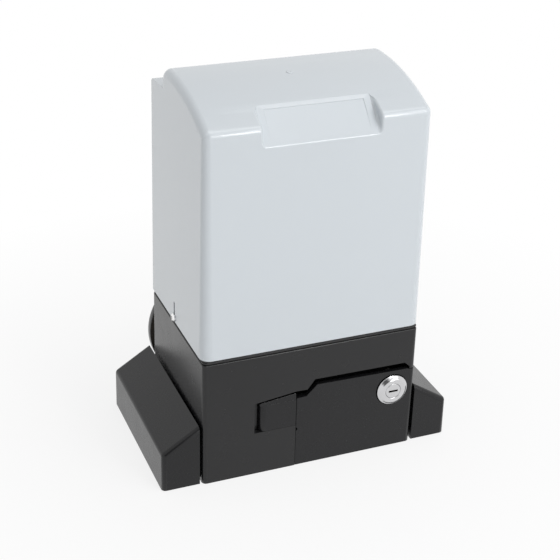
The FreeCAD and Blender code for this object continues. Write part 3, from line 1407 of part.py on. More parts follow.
def door_screws():
    screws = []
    for number, (x, z) in enumerate(door_screw_places()):
        screw = turned(f"door_screw_{number}", [(0, -6.3), (1.15, -6.3), (1.15, 0), (2.9, 0), (2.9, 1),
                                                (1.8, 2),
                                                (0.9, 2), (0.9, 1), (0, 1)])
        place(screw, x, LEVER_BACK + 0.02, z, *ALONG_Y)
        screws.append(screw)
    return group("door_screws", screws)


def hinge_pin():
    low = D.tab_bottom - 10
    pin = cylinder("hinge_pin", D.pivot_radius - 0.02, D.tab_top - D.tab_bottom + 27, PIVOT_X, PIVOT_Y, low)
    return finish(pin, "hinge_pin")


def release_rod():
    """Rod from the lever's cam through the hollow shaft to the cross pin."""
    rear = PIN_PLACE - D.cross_pin_radius - 0.05
    rod = turned("release_rod", [(0, ROD_TIP), (D.rod_radius, ROD_TIP + D.rod_radius),
                                 (D.rod_radius, rear - 1),
                                 (D.rod_radius - 1, rear), (0, rear)])
    place(rod, D.gear_x, 0, D.gear_z, *ALONG_Y)
    return finish(rod, "release_rod")


def lock_ring():
    """Trim ring and threaded barrel of the lock, in one turned piece."""
    body = new_body("lock_ring")
    ring, barrel, bore = D.lock_ring_radius, D.lock_barrel_radius, D.lock_plug_radius + D.running_gap
    depth = D.lever_thick + 3.5
    revolve(body, "profile", [
        (bore, -2.8), (bore + 0.4, -3.3), (ring - 3.2, -3.3), (ring - 2.6, -3.0), (ring - 0.7, -1.2),
        (ring, -1.0),
        (ring, 0), (barrel, 0), (barrel, depth), (bore, depth)])
    place(body, D.lock_x, FRONT - 0.02, D.lock_z, *ALONG_Y)
    return finish(body, "lock_ring")


def lock_plug():
    """Plug with the key slot, its tail squared for the tongue."""
    body = new_body("lock_plug")
    depth = D.lever_thick + 3.5
    revolve(body, "profile", [
        (0, -3.2), (D.lock_plug_radius - 0.4, -3.2), (D.lock_plug_radius, -2.7),
        (D.lock_plug_radius, depth + 0.2),
        (4, depth + 0.2), (4, depth + 3), (0, depth + 3)])
    item = sketch(body, "XY", "key_slot", -4)
    rectangle(item, -4.3, 4.3, -0.9, 0.9)
    pocket(body, item, 11, back=True)
    place(body, D.lock_x, FRONT, D.lock_z, *ALONG_Y)
    return finish(body, "lock_plug")


def lock_tongue():
    """Flat tongue on the plug; it lies along the arm and swings up behind the striker."""
    body = new_body("lock_tongue")
    depth = D.lever_thick + 3.9
    item = sketch(body, "XY", "blade", depth)
    reach = D.tongue_length
    outline(item, [(-reach + 3, -5), (0, -7), (7, -7), (7, 7), (0, 7), (-reach + 3, 5), (-reach, 3),
                   (-reach, -3)])
    pad(body, item, 2)
    tube(body, "bore", 0, 4.02, depth - 1, depth + 3, cut=True)
    place(body, D.lock_x, FRONT, D.lock_z, *ALONG_Y)
    return finish(body, "lock_tongue")


def lock_nut():
    body = new_body("lock_nut")
    hexagon(body, D.lever_thick + 0.02, 14, 2.6)
    tube(body, "bore", 0, D.lock_barrel_radius + 0.03, 0, D.lever_thick + 5, cut=True)
    place(body, D.lock_x, FRONT, D.lock_z, *ALONG_Y)
    return finish(body, "lock_nut")


# --- control side ------------------------------------------------------------------------------------------

BOARD_TOP = D.crest_height - D.board_drop
BOARD_BOTTOM = BOARD_TOP - D.board_length
BOARD_FACE = D.board_x - D.board_thick      # the side that carries the parts, facing left
HALF_BOARD = D.board_width / 2


def board_bracket():
    """Bent sheet that stands on the deck and holds the control board on four posts."""
    body = new_body("board_bracket")
    right = D.board_x + 5.2
    item = sketch(body, "XZ", "bend", -54)
    outline(item, [(right - D.bracket_thick, D.deck_height), (right + 13, D.deck_height),
                   (right + 13, D.deck_height + D.bracket_thick), (right, D.deck_height + D.bracket_thick),
                   (right, BOARD_TOP), (right - D.bracket_thick, BOARD_TOP)])
    pad(body, item, 108, back=True)
    item = sketch(body, "YZ", "posts", right - D.bracket_thick + 0.5)
    for y, z in board_corners():
        circle(item, y, z, 3)
    pad(body, item, right - D.bracket_thick + 0.5 - D.board_x, back=True)
    item = sketch(body, "YZ", "windows", right + 1)
    rounded(item, -36, 36, BOARD_BOTTOM + 12, BOARD_BOTTOM + 60, 5)
    rounded(item, -36, 36, BOARD_BOTTOM + 78, BOARD_TOP - 14, 5)
    pocket(body, item, 5)
    item = sketch(body, "XY", "foot_holes", D.deck_height + 4)
    for x, y, radius in deck_screws()[:2]:
        circle(item, x, y, 2.2)
    pocket(body, item, 6)
    return finish(body, "board_bracket")


def board_corners():
    inset = 6
    return [(y, z) for y in (inset - HALF_BOARD, HALF_BOARD - inset)
            for z in (BOARD_BOTTOM + inset, BOARD_TOP - inset)]


def control_board():
    body = new_body("control_board")
    item = sketch(body, "YZ", "board", BOARD_FACE)
    rounded(item, -HALF_BOARD, HALF_BOARD, BOARD_BOTTOM, BOARD_TOP, 3)
    for y, z in board_corners():
        circle(item, y, z, 1.6)
    pad(body, item, D.board_thick)
    return finish(body, "control_board")


def on_board(name, y, z, width, length, height, round_part=False):
    """A part standing on the control board's left side; y and z are its middle."""
    face = BOARD_FACE - 0.02
    if round_part:
        return cylinder(name, width / 2, height, face, y, BOARD_BOTTOM + z, V(0, 1, 0), -90)
    return block(name, face - height, face, y - width / 2, y + size(width) / 2,
                 BOARD_BOTTOM + z - length / 2, BOARD_BOTTOM + z + length / 2)


def boxes_on_board(name, entries):
    return group(name, [on_board(f"{name}_{number}", *entry) for number, entry in enumerate(entries)])


def board_items():
    """Everything that is soldered or plugged on the board: (y, height above its lower edge, size y, z, x)."""
    terminals = [(-40 + 20 * number, 18, 19, 12, 12) for number in range(5)]
    boxes_on_board("board_terminals", terminals)
    relays = [(-36 + 22 * number, 90, 16, 20, 15) for number in range(4)]
    boxes_on_board("board_relays", relays)
    chips = [(0, 118, 18, 18, 2.5), (-30, 118, 10, 12, 2.5), (28, 124, 22, 16, 6), (-30, 74, 22, 8, 9),
             (-6, 74, 7, 9, 5), (6, 74, 7, 9, 5), (18, 74, 7, 9, 5)]
    boxes_on_board("board_parts", chips)
    cans = [(36, 66, 12, 12, 20, True), (36, 46, 10, 10, 16, True)]
    boxes_on_board("board_capacitors", cans)


def transformer():
    """Small mains transformer: laminated core with the coil between its limbs."""
    y, z = -20, 46
    front = BOARD_FACE - 0.02
    middle = BOARD_BOTTOM + z

    def bar(name, width, length, near, far):
        return block(name, front - far, front - near, y - width / 2, y + width / 2,
                     middle - length / 2, middle + length / 2)

    frame = cut_from("transformer_frame", bar("transformer_core", 44, 36, 3, 21),
                     bar("transformer_window", 32, 24, 2, 22))
    coil = bar("transformer_coil", 30, 23, 0, 24)
    limb = bar("transformer_limb", 12, 26, 4, 20)
    return finish(fuse("transformer", [frame, coil, limb]), "transformer")


def bracket_screws():
    """Small screws in the deck: board bracket, sensor bracket and capacitor cup."""
    screws = []
    for number, (x, y, radius) in enumerate(deck_screws()):
        thread = radius - 0.04
        lift = (D.bracket_thick, D.bracket_thick, 1.5, 1.5, 2)[number]
        screw = turned(f"bracket_screw_{number}", [(0, -4.8), (thread, -4.8), (thread, 0), (3.4, 0),
                                                   (3.4, 1.2), (2.4, 2.2),
                                                   (0.9, 2.2), (0.9, 1.2), (0, 1.2)])
        place(screw, x, y, D.deck_height + lift + 0.02)
        screws.append(screw)
    return group("bracket_screws", screws)


def board_screws():
    screws = []
    for number, (y, z) in enumerate(board_corners()):
        screw = turned(f"board_screw_{number}", [(0, -1.5), (1.5, -1.5), (1.5, 0), (2.8, 0), (2.8, 1),
                                                 (2, 1.8), (0, 1.8)])
        place(screw, BOARD_FACE - 0.02, y, z, V(0, 1, 0), -90)
        screws.append(screw)
    return group("board_screws", screws)


def run_capacitor():
    low, high = D.deck_height + 4.1, D.deck_height + 4.1 + D.run_cap_length
    radius = D.run_cap_radius
    can = turned("run_capacitor", [(0, low), (radius - 1, low), (radius, low + 1), (radius, high - 2),
                                   (radius - 2, high), (0, high)])
    place(can, CAPACITOR_X, CAPACITOR_Y, 0)
    finish(can, "run_capacitor")
    body = new_body("capacitor_cup")
    x, y, radius = deck_screws()[4]
    item = sketch(body, "XY", "foot", D.deck_height)
    rectangle(item, x - 4.5, CAPACITOR_X, y - 3.2, CAPACITOR_Y)
    pad(body, item, 2)
    item = sketch(body, "XY", "cup", D.deck_height)
    circle(item, CAPACITOR_X, CAPACITOR_Y, D.run_cap_radius + 1.5)
    pad(body, item, 24)
    item = sketch(body, "XY", "cup_bore", D.deck_height + 24)
    circle(item, CAPACITOR_X, CAPACITOR_Y, D.run_cap_radius + 0.2)
    pocket(body, item, 20)
    item = sketch(body, "XY", "foot_hole", D.deck_height + 5)
    circle(item, x, y, radius + 0.2)
    pocket(body, item, 8)
    return finish(body, "capacitor_cup")


def limit_sensor():
    """Magnetic limit sensor inside the rear of the cover, on a bent bracket."""
    body = new_body("sensor_bracket")
    item = sketch(body, "YZ", "bend", SENSOR_X - 14)
    outline(item, [(46, D.deck_height), (61, D.deck_height), (61, D.deck_height + 1.5),
                   (47.5, D.deck_height + 1.5),
                   (47.5, 158), (46, 158)])
    pad(body, item, 28)
    item = sketch(body, "XY", "foot_holes", D.deck_height + 4)
    for x, y, radius in deck_screws()[2:4]:
        circle(item, x, y, 1.7)
    pocket(body, item, 6)
    finish(body, "sensor_bracket")
    body = new_body("limit_sensor")
    item = sketch(body, "XZ", "case", 47.52)
    rounded(item, SENSOR_X - 13, SENSOR_X + 13, 126, 154, 2)
    pad(body, item, 13, back=True)
    return finish(body, "limit_sensor")


def cable_gland():
    """Gland in the base's floor, its nut above and its seal dome below the deck."""
    body = new_body("cable_gland")
    bore, thread = D.gland_bore, D.gland_radius
    top = D.base_floor
    revolve(body, "barrel", [(bore, 1), (thread, 1), (thread, top + 20), (thread - 2, top + 24),
                             (bore, top + 24)])
    hexagon(body, top + 0.1, thread + 3.5, 6)
    hexagon(body, top + 10, thread + 2.8, 8)
    tube(body, "cable_bore", 0, bore, 0, top + 26, cut=True)
    place(body, D.gland_x, D.gland_y, 0)
    return finish(body, "cable_gland")


# --- assembly and export -----------------------------------------------------------------------------------


def build():
    base_parts()
    mirrored("foot_cover_left", foot_cover("foot_cover_right"))
    cover()
    cover_seal()
    cover_screws()
    levelling_screws()
    worm_wheel()
    clutch_sleeve()
    clutch_pin()
    clutch_spring()
    output_shaft()
    output_pinion()
    pinion_key()
    pinion_fixing()
    bearing("output_bearing_front", D.shaft_radius + D.running_gap, 21, 12, D.chamber_front - 12, across=True)
    bearing("output_bearing_rear", D.shaft_rear_radius + D.running_gap, 26, 15, D.barrel_rear - 8,
            across=True)
    gear_cover()
    gear_cover_gasket()
    gear_cover_screws()
    shaft_seal()
    worm_shaft()
    rotor_core()
    cooling_fan()
    bearing("worm_bearing_lower", 7.5 + D.running_gap, 17.5, 11, D.worm_shaft_bottom)
    bearing("motor_bearing_main", 8.5 + D.running_gap, 20, 12, 100)
    bearing("motor_bearing_upper", 7.5 + D.running_gap, 17.5, 11, BELL_TOP - 8)
    motor_flange()
    flange_screws()
    motor_upper_bell()
    stator_core()
    stator_windings()
    through_bolts()
    release_lever()
    release_door()
    door_screws()
    hinge_pin()
    release_rod()
    lock_ring()
    lock_plug()
    lock_tongue()
    lock_nut()
    board_bracket()
    control_board()
    board_items()
    transformer()
    bracket_screws()
    board_screws()
    run_capacitor()
    limit_sensor()
    cable_gland()
    doc.recompute()


def check():
    """Stop on anything that failed quietly."""
    for thing in doc.Objects:
        if "Invalid" in thing.State or "Error" in thing.State:
            raise RuntimeError(f"{thing.Name} did not build")
    for feature in cuts:
        before, after = feature.BaseFeature.Shape, feature.Shape
        if before.Volume - after.Volume < 0.01:
            raise RuntimeError(f"{feature.Name} cuts nothing")
    for part in parts:
        if part.Shape.isNull() or not part.Shape.isValid():
            raise RuntimeError(f"{part.Label} has no sound shape")


def export():
    os.makedirs("parts", exist_ok=True)
    for part in parts:
        part.Shape.exportStep(f"parts/{part.Label}.step")
    print(len(parts), "sub-parts written")


build()
check()
export()
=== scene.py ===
"""Looks of the sliding gate motor: materials, fine surface detail, camera and studio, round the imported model."""

import json
import math

import bmesh
import bpy
from mathutils import Matrix, Vector
from mathutils.bvhtree import BVHTree


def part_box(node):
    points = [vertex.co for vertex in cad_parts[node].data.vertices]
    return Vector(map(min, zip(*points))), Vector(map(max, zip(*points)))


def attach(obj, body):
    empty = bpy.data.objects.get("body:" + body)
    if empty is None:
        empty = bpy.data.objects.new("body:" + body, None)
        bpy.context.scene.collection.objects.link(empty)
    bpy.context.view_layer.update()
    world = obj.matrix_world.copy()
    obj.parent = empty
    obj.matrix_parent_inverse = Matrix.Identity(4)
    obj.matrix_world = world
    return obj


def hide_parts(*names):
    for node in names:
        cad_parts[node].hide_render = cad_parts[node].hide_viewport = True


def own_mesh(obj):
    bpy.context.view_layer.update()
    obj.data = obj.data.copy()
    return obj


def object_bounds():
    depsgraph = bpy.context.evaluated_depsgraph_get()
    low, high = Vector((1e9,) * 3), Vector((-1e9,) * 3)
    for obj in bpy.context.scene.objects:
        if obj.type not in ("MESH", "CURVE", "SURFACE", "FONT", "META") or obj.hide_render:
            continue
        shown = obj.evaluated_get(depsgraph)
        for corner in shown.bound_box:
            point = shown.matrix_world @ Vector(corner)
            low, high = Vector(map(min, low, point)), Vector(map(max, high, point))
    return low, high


MM = 0.001
TAB_LEFT = -46.4                            # left end of the lever's tab, mm
TAB_TOP = 66.4                              # upper edge of the lever's tab, mm
WELD_DISTANCE = 0.000002                    # vertices nearer than this are one, m
EDGE_ANGLE = math.radians(35)               # edges sharper than this are rounded
EDGE_SEGMENTS = 2
PROBE_START = 0.01                          # how far outside a surface a ray towards it starts, m

CAMERA_AZIMUTH, CAMERA_ELEVATION, CAMERA_ROLL = math.radians(-22.542), math.radians(27.383), math.radians(1.645)
CAMERA_TARGET, CAMERA_DISTANCE = Vector((-0.00238, 0.002, 0.14203)), 1.10979
FOCAL_LENGTH, SENSOR_WIDTH = 83.4, 36.0

ROOM_LIGHT = 0.60                           # strength of the light that falls on the object from all round
DARK_SIDE = (-0.34, -0.82, 0.46)            # where the studio has no white wall, as seen in the gloss
DARK_SIDE_EDGE = (0.88, 0.985)              # cosines at which the wall starts to darken and is darkest
DARK_SIDE_STRENGTH = 0.12
FLOOR_REACH = 5.0                           # half the floor's side, m
FLOOR_DROP = 0.0002                         # how far the floor lies under the feet, m
FLOOR_NEAR = 0.80                           # share of plain white in the floor beside the object
FLOOR_FADE = (0.18, 0.50)                   # distances between which the floor turns plain white, m
LAMP_AIM = (0.0, 0.0, 0.15)
LAMPS = (                                   # name, place, width, height, power
    ("key", (0.65, -1.78, 0.83), 0.45, 0.70, 9.5),
    ("right", (1.3, -1.5, 1.3), 1.2, 1.0, 8.5),
    ("top", (0.3, -0.3, 2.1), 1.2, 1.2, 8.0),
)

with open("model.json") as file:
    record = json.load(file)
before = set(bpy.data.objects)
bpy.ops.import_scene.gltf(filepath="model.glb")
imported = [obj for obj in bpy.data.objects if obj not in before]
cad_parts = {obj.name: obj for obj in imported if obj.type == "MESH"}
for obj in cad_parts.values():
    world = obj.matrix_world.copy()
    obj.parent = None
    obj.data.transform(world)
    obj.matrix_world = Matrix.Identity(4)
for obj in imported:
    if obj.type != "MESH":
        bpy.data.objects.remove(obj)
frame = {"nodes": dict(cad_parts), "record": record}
cad_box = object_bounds()
nodes = frame["nodes"]

# --- materials ---------------------------------------------------------------------------------------------


class Graph:
    """Short names for building one material's node tree."""

    def __init__(self, name):
        self.material = bpy.data.materials.new(name)
        self.material.use_nodes = True
        self.tree = self.material.node_tree
        self.shader = self.tree.nodes["Principled BSDF"]
        self.place = self.tree.nodes.new("ShaderNodeTexCoord").outputs["Object"]

    def add(self, kind, **settings):
        node = self.tree.nodes.new(kind)
        for name, value in settings.items():
            setattr(node, name, value)
        return node

    def link(self, source, target):
        self.tree.links.new(source, target)

    def scaled(self, scale):
        """Object coordinates stretched along the axes."""
        node = self.add("ShaderNodeMapping")
        node.inputs["Scale"].default_value = scale
        self.link(self.place, node.inputs["Vector"])
        return node.outputs["Vector"]

    def noise(self, scale, detail=2.0, place=None, distortion=0.0):
        node = self.add("ShaderNodeTexNoise")
        node.inputs["Scale"].default_value = scale
        node.inputs["Detail"].default_value = detail
        node.inputs["Distortion"].default_value = distortion
        self.link(place or self.place, node.inputs["Vector"])
        return node.outputs["Fac"]

    def span(self, value, low, high, start=0.3, end=0.7):
        """A 0 to 1 value spread over a range."""
        node = self.add("ShaderNodeMapRange")
        node.inputs["From Min"].default_value = start
        node.inputs["From Max"].default_value = end
        node.inputs["To Min"].default_value = low
        node.inputs["To Max"].default_value = high
        self.link(value, node.inputs["Value"])
        return node.outputs["Result"]

    def mixed(self, factor, first, second):
        node = self.add("ShaderNodeMix", data_type="RGBA")
        for socket, value in ((node.inputs["Factor"], factor), (node.inputs["A"], first), (node.inputs["B"], second)):
            if isinstance(value, tuple):
                socket.default_value = (*value, 1.0)
            else:
                self.link(value, socket)
        return node.outputs["Result"]

    def bump(self, height, strength, depth, before=None):
        node = self.add("ShaderNodeBump")
        node.inputs["Strength"].default_value = strength
        node.inputs["Distance"].default_value = depth
        self.link(height, node.inputs["Height"])
        if before:
            self.link(before, node.inputs["Normal"])
        return node.outputs["Normal"]


def shade(colour, amount):
    return tuple(min(1.0, channel * amount) for channel in colour)


def moulded(name, colour, rough, grain=900.0, depth=0.00004, vary=0.06, coat=0.0, specular=0.5, swell=0.00003):
    """Moulded or painted surface: fine grain, slow colour drift and uneven gloss.

    grain is the fineness and depth the height of the grain, swell the height of its slow waves, vary the drift.
    """
    graph = Graph(name)
    shader = graph.shader
    drift = graph.span(graph.noise(9.0, 3.0), 0.0, 1.0)
    graph.link(graph.mixed(drift, shade(colour, 1 - vary), shade(colour, 1 + vary)), shader.inputs["Base Color"])
    graph.link(graph.span(graph.noise(60.0, 4.0), rough - 0.015, rough + 0.02), shader.inputs["Roughness"])
    fine = graph.bump(graph.noise(grain, 2.0), 0.35, depth)
    graph.link(graph.bump(graph.noise(25.0, 1.0), 0.12, swell, fine), shader.inputs["Normal"])
    shader.inputs["Specular IOR Level"].default_value = specular
    shader.inputs["Coat Weight"].default_value = coat
    shader.inputs["Coat Roughness"].default_value = 0.12
    return graph.material


def machined(name, colour, rough, stretch=(1, 1, 1), depth=0.00002, vary=0.10):
    """Metal with turning or drawing marks along one direction and slight staining."""
    graph = Graph(name)
    shader = graph.shader
    shader.inputs["Metallic"].default_value = 1.0
    stain = graph.span(graph.noise(30.0, 5.0, distortion=0.4), 0.0, 1.0)
    graph.link(graph.mixed(stain, shade(colour, 1 - vary), shade(colour, 1 + vary)), shader.inputs["Base Color"])
    lines = graph.noise(420.0, 3.0, graph.scaled(stretch))
    graph.link(graph.span(lines, rough - 0.06, rough + 0.08), shader.inputs["Roughness"])
    graph.link(graph.bump(lines, 0.3, depth), shader.inputs["Normal"])
    return graph.material


def cast(name, colour, rough):
    """Sand or pressure cast metal: pitted skin, dull."""
    graph = Graph(name)
    shader = graph.shader
    shader.inputs["Metallic"].default_value = 1.0
    cloud = graph.span(graph.noise(45.0, 5.0), 0.0, 1.0)
    graph.link(graph.mixed(cloud, shade(colour, 0.86), shade(colour, 1.08)), shader.inputs["Base Color"])
    graph.link(graph.span(cloud, rough - 0.06, rough + 0.08), shader.inputs["Roughness"])
    graph.link(graph.bump(graph.noise(700.0, 4.0), 0.5, 0.00012), shader.inputs["Normal"])
    return graph.material


def stacked(name, colour, rough):
    """Sheet stack: fine horizontal lines between the sheets."""
    graph = Graph(name)
    shader = graph.shader
    shader.inputs["Metallic"].default_value = 0.9
    wave = graph.add("ShaderNodeTexWave", wave_type="BANDS", bands_direction="Z")
    wave.inputs["Scale"].default_value = 320.0
    wave.inputs["Distortion"].default_value = 0.4
    graph.link(graph.place, wave.inputs["Vector"])
    graph.link(graph.mixed(wave.outputs["Fac"], shade(colour, 0.7), shade(colour, 1.15)), shader.inputs["Base Color"])
    graph.link(graph.span(graph.noise(80.0, 3.0), rough - 0.05, rough + 0.08), shader.inputs["Roughness"])
    graph.link(graph.bump(wave.outputs["Fac"], 0.4, 0.0001), shader.inputs["Normal"])
    return graph.material


FINISHES = {
    "base_paint": (moulded, dict(
        colour=(0.0130, 0.0130, 0.0138), rough=0.26, grain=1400.0, depth=0.00001, vary=0.10, specular=0.38)),
    "foot_plastic": (moulded, dict(
        colour=(0.0092, 0.0092, 0.0102), rough=0.27, grain=1200.0, depth=0.00001, vary=0.08, specular=0.34)),
    "lever_paint": (moulded, dict(
        colour=(0.0096, 0.0096, 0.0106), rough=0.26, grain=1400.0, depth=0.00001, vary=0.10, specular=0.34)),
    "cover_plastic": (moulded, dict(
        colour=(0.575, 0.615, 0.648), rough=0.24, depth=0.000006, vary=0.004, coat=0.35, swell=0.00002)),
    "seal_rubber": (moulded, dict(
        colour=(0.0085, 0.0085, 0.0090), rough=0.38, grain=500.0, depth=0.00005, vary=0.10)),
    # near black and hardly glossy: the ring round the lock uses it to paint the shadow line round the flange
    "felt": (moulded, dict(
        colour=(0.0020, 0.0020, 0.0022), rough=0.85, grain=700.0, depth=0.00005, vary=0.20, specular=0.05)),
    "gasket": (moulded, dict(colour=(0.045, 0.040, 0.032), rough=0.80, grain=700.0, depth=0.0001, vary=0.20)),
    "board_green": (moulded, dict(colour=(0.012, 0.11, 0.045), rough=0.35, grain=300.0, vary=0.15, coat=0.2)),
    "terminal_plastic": (moulded, dict(colour=(0.03, 0.26, 0.10), rough=0.45, grain=600.0, vary=0.08)),
    "relay_plastic": (moulded, dict(colour=(0.02, 0.07, 0.28), rough=0.35, grain=600.0, depth=0.00003)),
    "component_black": (moulded, dict(
        colour=(0.012, 0.012, 0.013), rough=0.50, grain=700.0, depth=0.00005, vary=0.12)),
    "can_plastic": (moulded, dict(colour=(0.60, 0.60, 0.57), rough=0.38, grain=500.0, depth=0.00003, vary=0.03)),
    "fan_plastic": (moulded, dict(colour=(0.018, 0.018, 0.020), rough=0.50, grain=700.0, depth=0.00006, vary=0.10)),
    "bright_steel": (machined, dict(colour=(0.83, 0.83, 0.83), rough=0.16, stretch=(1, 1, 4))),
    "zinc_steel": (machined, dict(colour=(0.60, 0.59, 0.54), rough=0.30, stretch=(3, 1, 1))),
    "bearing_steel": (machined, dict(colour=(0.62, 0.63, 0.65), rough=0.22, stretch=(1, 6, 1))),
    "machined_steel": (machined, dict(colour=(0.56, 0.56, 0.57), rough=0.26, stretch=(1, 1, 8))),
    "gear_steel": (machined, dict(colour=(0.40, 0.40, 0.41), rough=0.32, stretch=(1, 6, 1))),
    "spring_steel": (machined, dict(colour=(0.30, 0.30, 0.32), rough=0.30, stretch=(1, 4, 1))),
    "bronze": (machined, dict(colour=(0.63, 0.42, 0.18), rough=0.28, stretch=(1, 6, 1))),
    "cast_aluminium": (cast, dict(colour=(0.60, 0.61, 0.62), rough=0.45)),
    "lamination": (stacked, dict(colour=(0.30, 0.30, 0.32), rough=0.42)),
    "copper_wire": (stacked, dict(colour=(0.55, 0.20, 0.07), rough=0.35)),
    "lock_chrome": (machined, dict(colour=(0.62, 0.62, 0.63), rough=0.10, depth=0.000004, vary=0.02)),
}
MATERIALS = {name: make(name, **values) for name, (make, values) in FINISHES.items()}

for part in frame["record"]["subparts"]:
    thing = nodes[part["node"]]
    for slot in thing.material_slots:
        slot.material = MATERIALS[part["material_slot"]]

# --- soft edges on the carried-over pieces -----------------------------------------------------------------

EDGES = {                                   # width of the rounding, mm
    "base_housing": 0.25, "base_shell": 0.16, "release_door": 0.14, "release_lever": 0.14,
    "foot_cover_left": 0.4, "foot_cover_right": 0.4, "cover": 0.4, "cover_seal": 0.25, "gear_cover": 0.4,
    "output_pinion": 0.25, "lock_ring": 0.12, "lock_plug": 0.12,
}


def rounded(thing, width):
    edge = thing.modifiers.new("soft_edge", "BEVEL")
    edge.width = width * MM
    edge.segments = EDGE_SEGMENTS
    return edge


for name, width in EDGES.items():
    weld = nodes[name].modifiers.new("weld", "WELD")
    weld.merge_threshold = WELD_DISTANCE
    edge = rounded(nodes[name], width)
    edge.limit_method = "ANGLE"
    edge.angle_limit = EDGE_ANGLE
    edge.harden_normals = False

# --- small forms that the CAD leaves to the scene ----------------------------------------------------------


def piece(name, verts, faces, body, slot, finish=None):
    """A closed mesh piece that rides on a body. Its finish is its slot's, unless another is named."""
    mesh = bpy.data.meshes.new(name)
    mesh.from_pydata(verts, [], faces)
    shape = bmesh.new()
    shape.from_mesh(mesh)
    bmesh.ops.recalc_face_normals(shape, faces=shape.faces)
    shape.to_mesh(mesh)
    shape.free()
    thing = bpy.data.objects.new(name, mesh)
    bpy.context.scene.collection.objects.link(thing)
    mesh.materials.append(MATERIALS[finish or slot])
    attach(thing, body)
    return thing


def strips(rings, count, open_rings=False, open_ends=False):
    """Quads between neighbouring rings of points, and from the last ring to the first unless open_rings."""
    return [(ring * count + n, ring * count + (n + 1) % count,
             (ring + 1) % rings * count + (n + 1) % count, (ring + 1) % rings * count + n)
            for ring in range(rings - open_rings) for n in range(count - open_ends)]


def skin(node):
    """A CAD node's surface, for rays."""
    mesh = nodes[node].data
    return BVHTree.FromPolygons([one.co for one in mesh.vertices], [one.vertices for one in mesh.polygons])


def facet_frame():
    """The facet's middle, the way up its slope, its normal, its half width and half height."""
    mesh = nodes["cover"].data
    widest = max((one for one in mesh.polygons if one.normal.y < -0.5 and 0.5 < one.normal.z < 0.85),
                 key=lambda one: one.area)
    normal = widest.normal.copy()
    slope = Vector((1, 0, 0)).cross(normal) * -1
    if slope.z < 0:
        slope = -slope
    level = widest.center.dot(normal)
    corners = [mesh.vertices[n].co for one in mesh.polygons
               if one.normal.dot(normal) > 0.9999 and abs(one.center.dot(normal) - level) < 0.05 * MM
               for n in one.vertices]
    across = [corner.x for corner in corners]
    along = [corner.dot(slope) for corner in corners]
    middle = Vector(((min(across) + max(across)) / 2, 0, 0)) + slope * (min(along) + max(along)) / 2 + normal * level
    return middle, slope, normal, (max(across) - min(across)) / 2, (max(along) - min(along)) / 2


def facet_border():
    """The facet's middle lies a little lower than its border, which tapers away to the outside and the bottom."""
    middle, slope, normal, half_width, half_height = facet_frame()
    side, top, foot = 5.5 * MM, 4.0 * MM, 2.5 * MM
    step, edge, sunk = 0.55 * MM, 0.4 * MM, 0.05 * MM
    inner_x, inner_top, low = half_width - side, half_height - top, foot - half_height
    paths = [
        [(-inner_x, low, -sunk), (-inner_x, inner_top, -sunk), (inner_x, inner_top, -sunk), (inner_x, low, -sunk)],
        [(-inner_x - edge, low, 0), (-inner_x - edge, inner_top + edge, step), (inner_x + edge, inner_top + edge, step),
         (inner_x + edge, low, 0)],
        [(-half_width, low, -sunk), (-half_width, half_height, -sunk), (half_width, half_height, -sunk),
         (half_width, low, -sunk)],
    ]
    verts = [middle + Vector((x, 0, 0)) + slope * up + normal * out for path in paths for x, up, out in path]
    faces = strips(len(paths), len(paths[0]), open_ends=True) + [(0, 4, 8), (3, 11, 7)]
    piece("facet_border", verts, faces, "housing", "cover_plastic")


def top_mark():
    """The small round mark that the mould's gate left on the cover's top."""
    x, y, count = -1.6 * MM, -3.2 * MM, 28
    section = [(2.6, -0.1), (2.4, 0.35), (2.0, 0.50), (1.5, 0.35), (1.0, 0.02)]     # radius and height, mm
    place, normal, _, _ = skin("cover").ray_cast(Vector((x, y, cad_box[1][2] + PROBE_START)), Vector((0, 0, -1)))
    turn = normal.to_track_quat("Z", "Y")
    verts = [place + turn @ Vector((radius * MM * math.cos(math.tau * n / count),
                                    radius * MM * math.sin(math.tau * n / count), high * MM))
             for radius, high in section for n in range(count)]
    rings = len(section)
    caps = [tuple(range((rings - 1) * count, rings * count)), tuple(range(count))]
    mark = piece("moulding_mark", verts, strips(rings, count, open_rings=True) + caps, "housing", "cover_plastic")
    for face in mark.data.polygons[:-len(caps)]:
        face.use_smooth = True


def tab_lip():
    """The lip along the top of the lever's tab. It leans back and leaves a thin gap under the opening's edge."""
    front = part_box("release_lever")[0].y + 0.15 * MM
    left, right_end = TAB_LEFT * MM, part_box("release_door")[0].x - 0.6 * MM
    bottom, high_left, high_right = (TAB_TOP - 0.2) * MM, 2.2 * MM, 5.7 * MM
    lean, thick_bottom, thick_top = 0.2, 3.6 * MM, 0.5 * MM
    verts = [(left, front, bottom), (right_end, front, bottom),
             (right_end, front + lean * high_right, bottom + high_right),
             (left, front + lean * high_left, bottom + high_left),
             (left, front + thick_bottom, bottom), (right_end, front + thick_bottom, bottom),
             (right_end, front + lean * high_right + thick_top, bottom + high_right),
             (left, front + lean * high_left + thick_top, bottom + high_left)]
    lip = piece("tab_lip", verts, [(0, 1, 2, 3), (4, 5, 6, 7)] + strips(2, 4, open_rings=True), "lever", "foot_plastic")
    rounded(lip, 0.12)


def lock_shadow_ring():
    """A near-black ring round the lock's flange that stands for the shadow line between the flange and the door:
    painted shade.
    """
    door = skin("release_door")
    low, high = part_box("lock_ring")
    middle, radius, count = (low + high) / 2, (high.x - low.x) / 2, 56
    # how far outside the flange and how far behind the door's face, mm
    section = [(0.8, 0.1), (0.8, -0.2), (0.6, -0.35), (0.05, -0.35), (0.05, 0.1)]
    verts = []
    for out, deep in section:
        for n in range(count):
            x = middle.x + (radius + out * MM) * math.cos(math.tau * n / count)
            z = middle.z + (radius + out * MM) * math.sin(math.tau * n / count)
            place, _, _, _ = door.ray_cast(Vector((x, low.y - PROBE_START, z)), Vector((0, 1, 0)))
            verts.append((x, place.y + deep * MM, z))
    # the near-black felt finish paints this ring as the flange's shadow line
    piece("lock_shadow_ring", verts, strips(len(section), count), "lever", "seal_rubber", "felt")


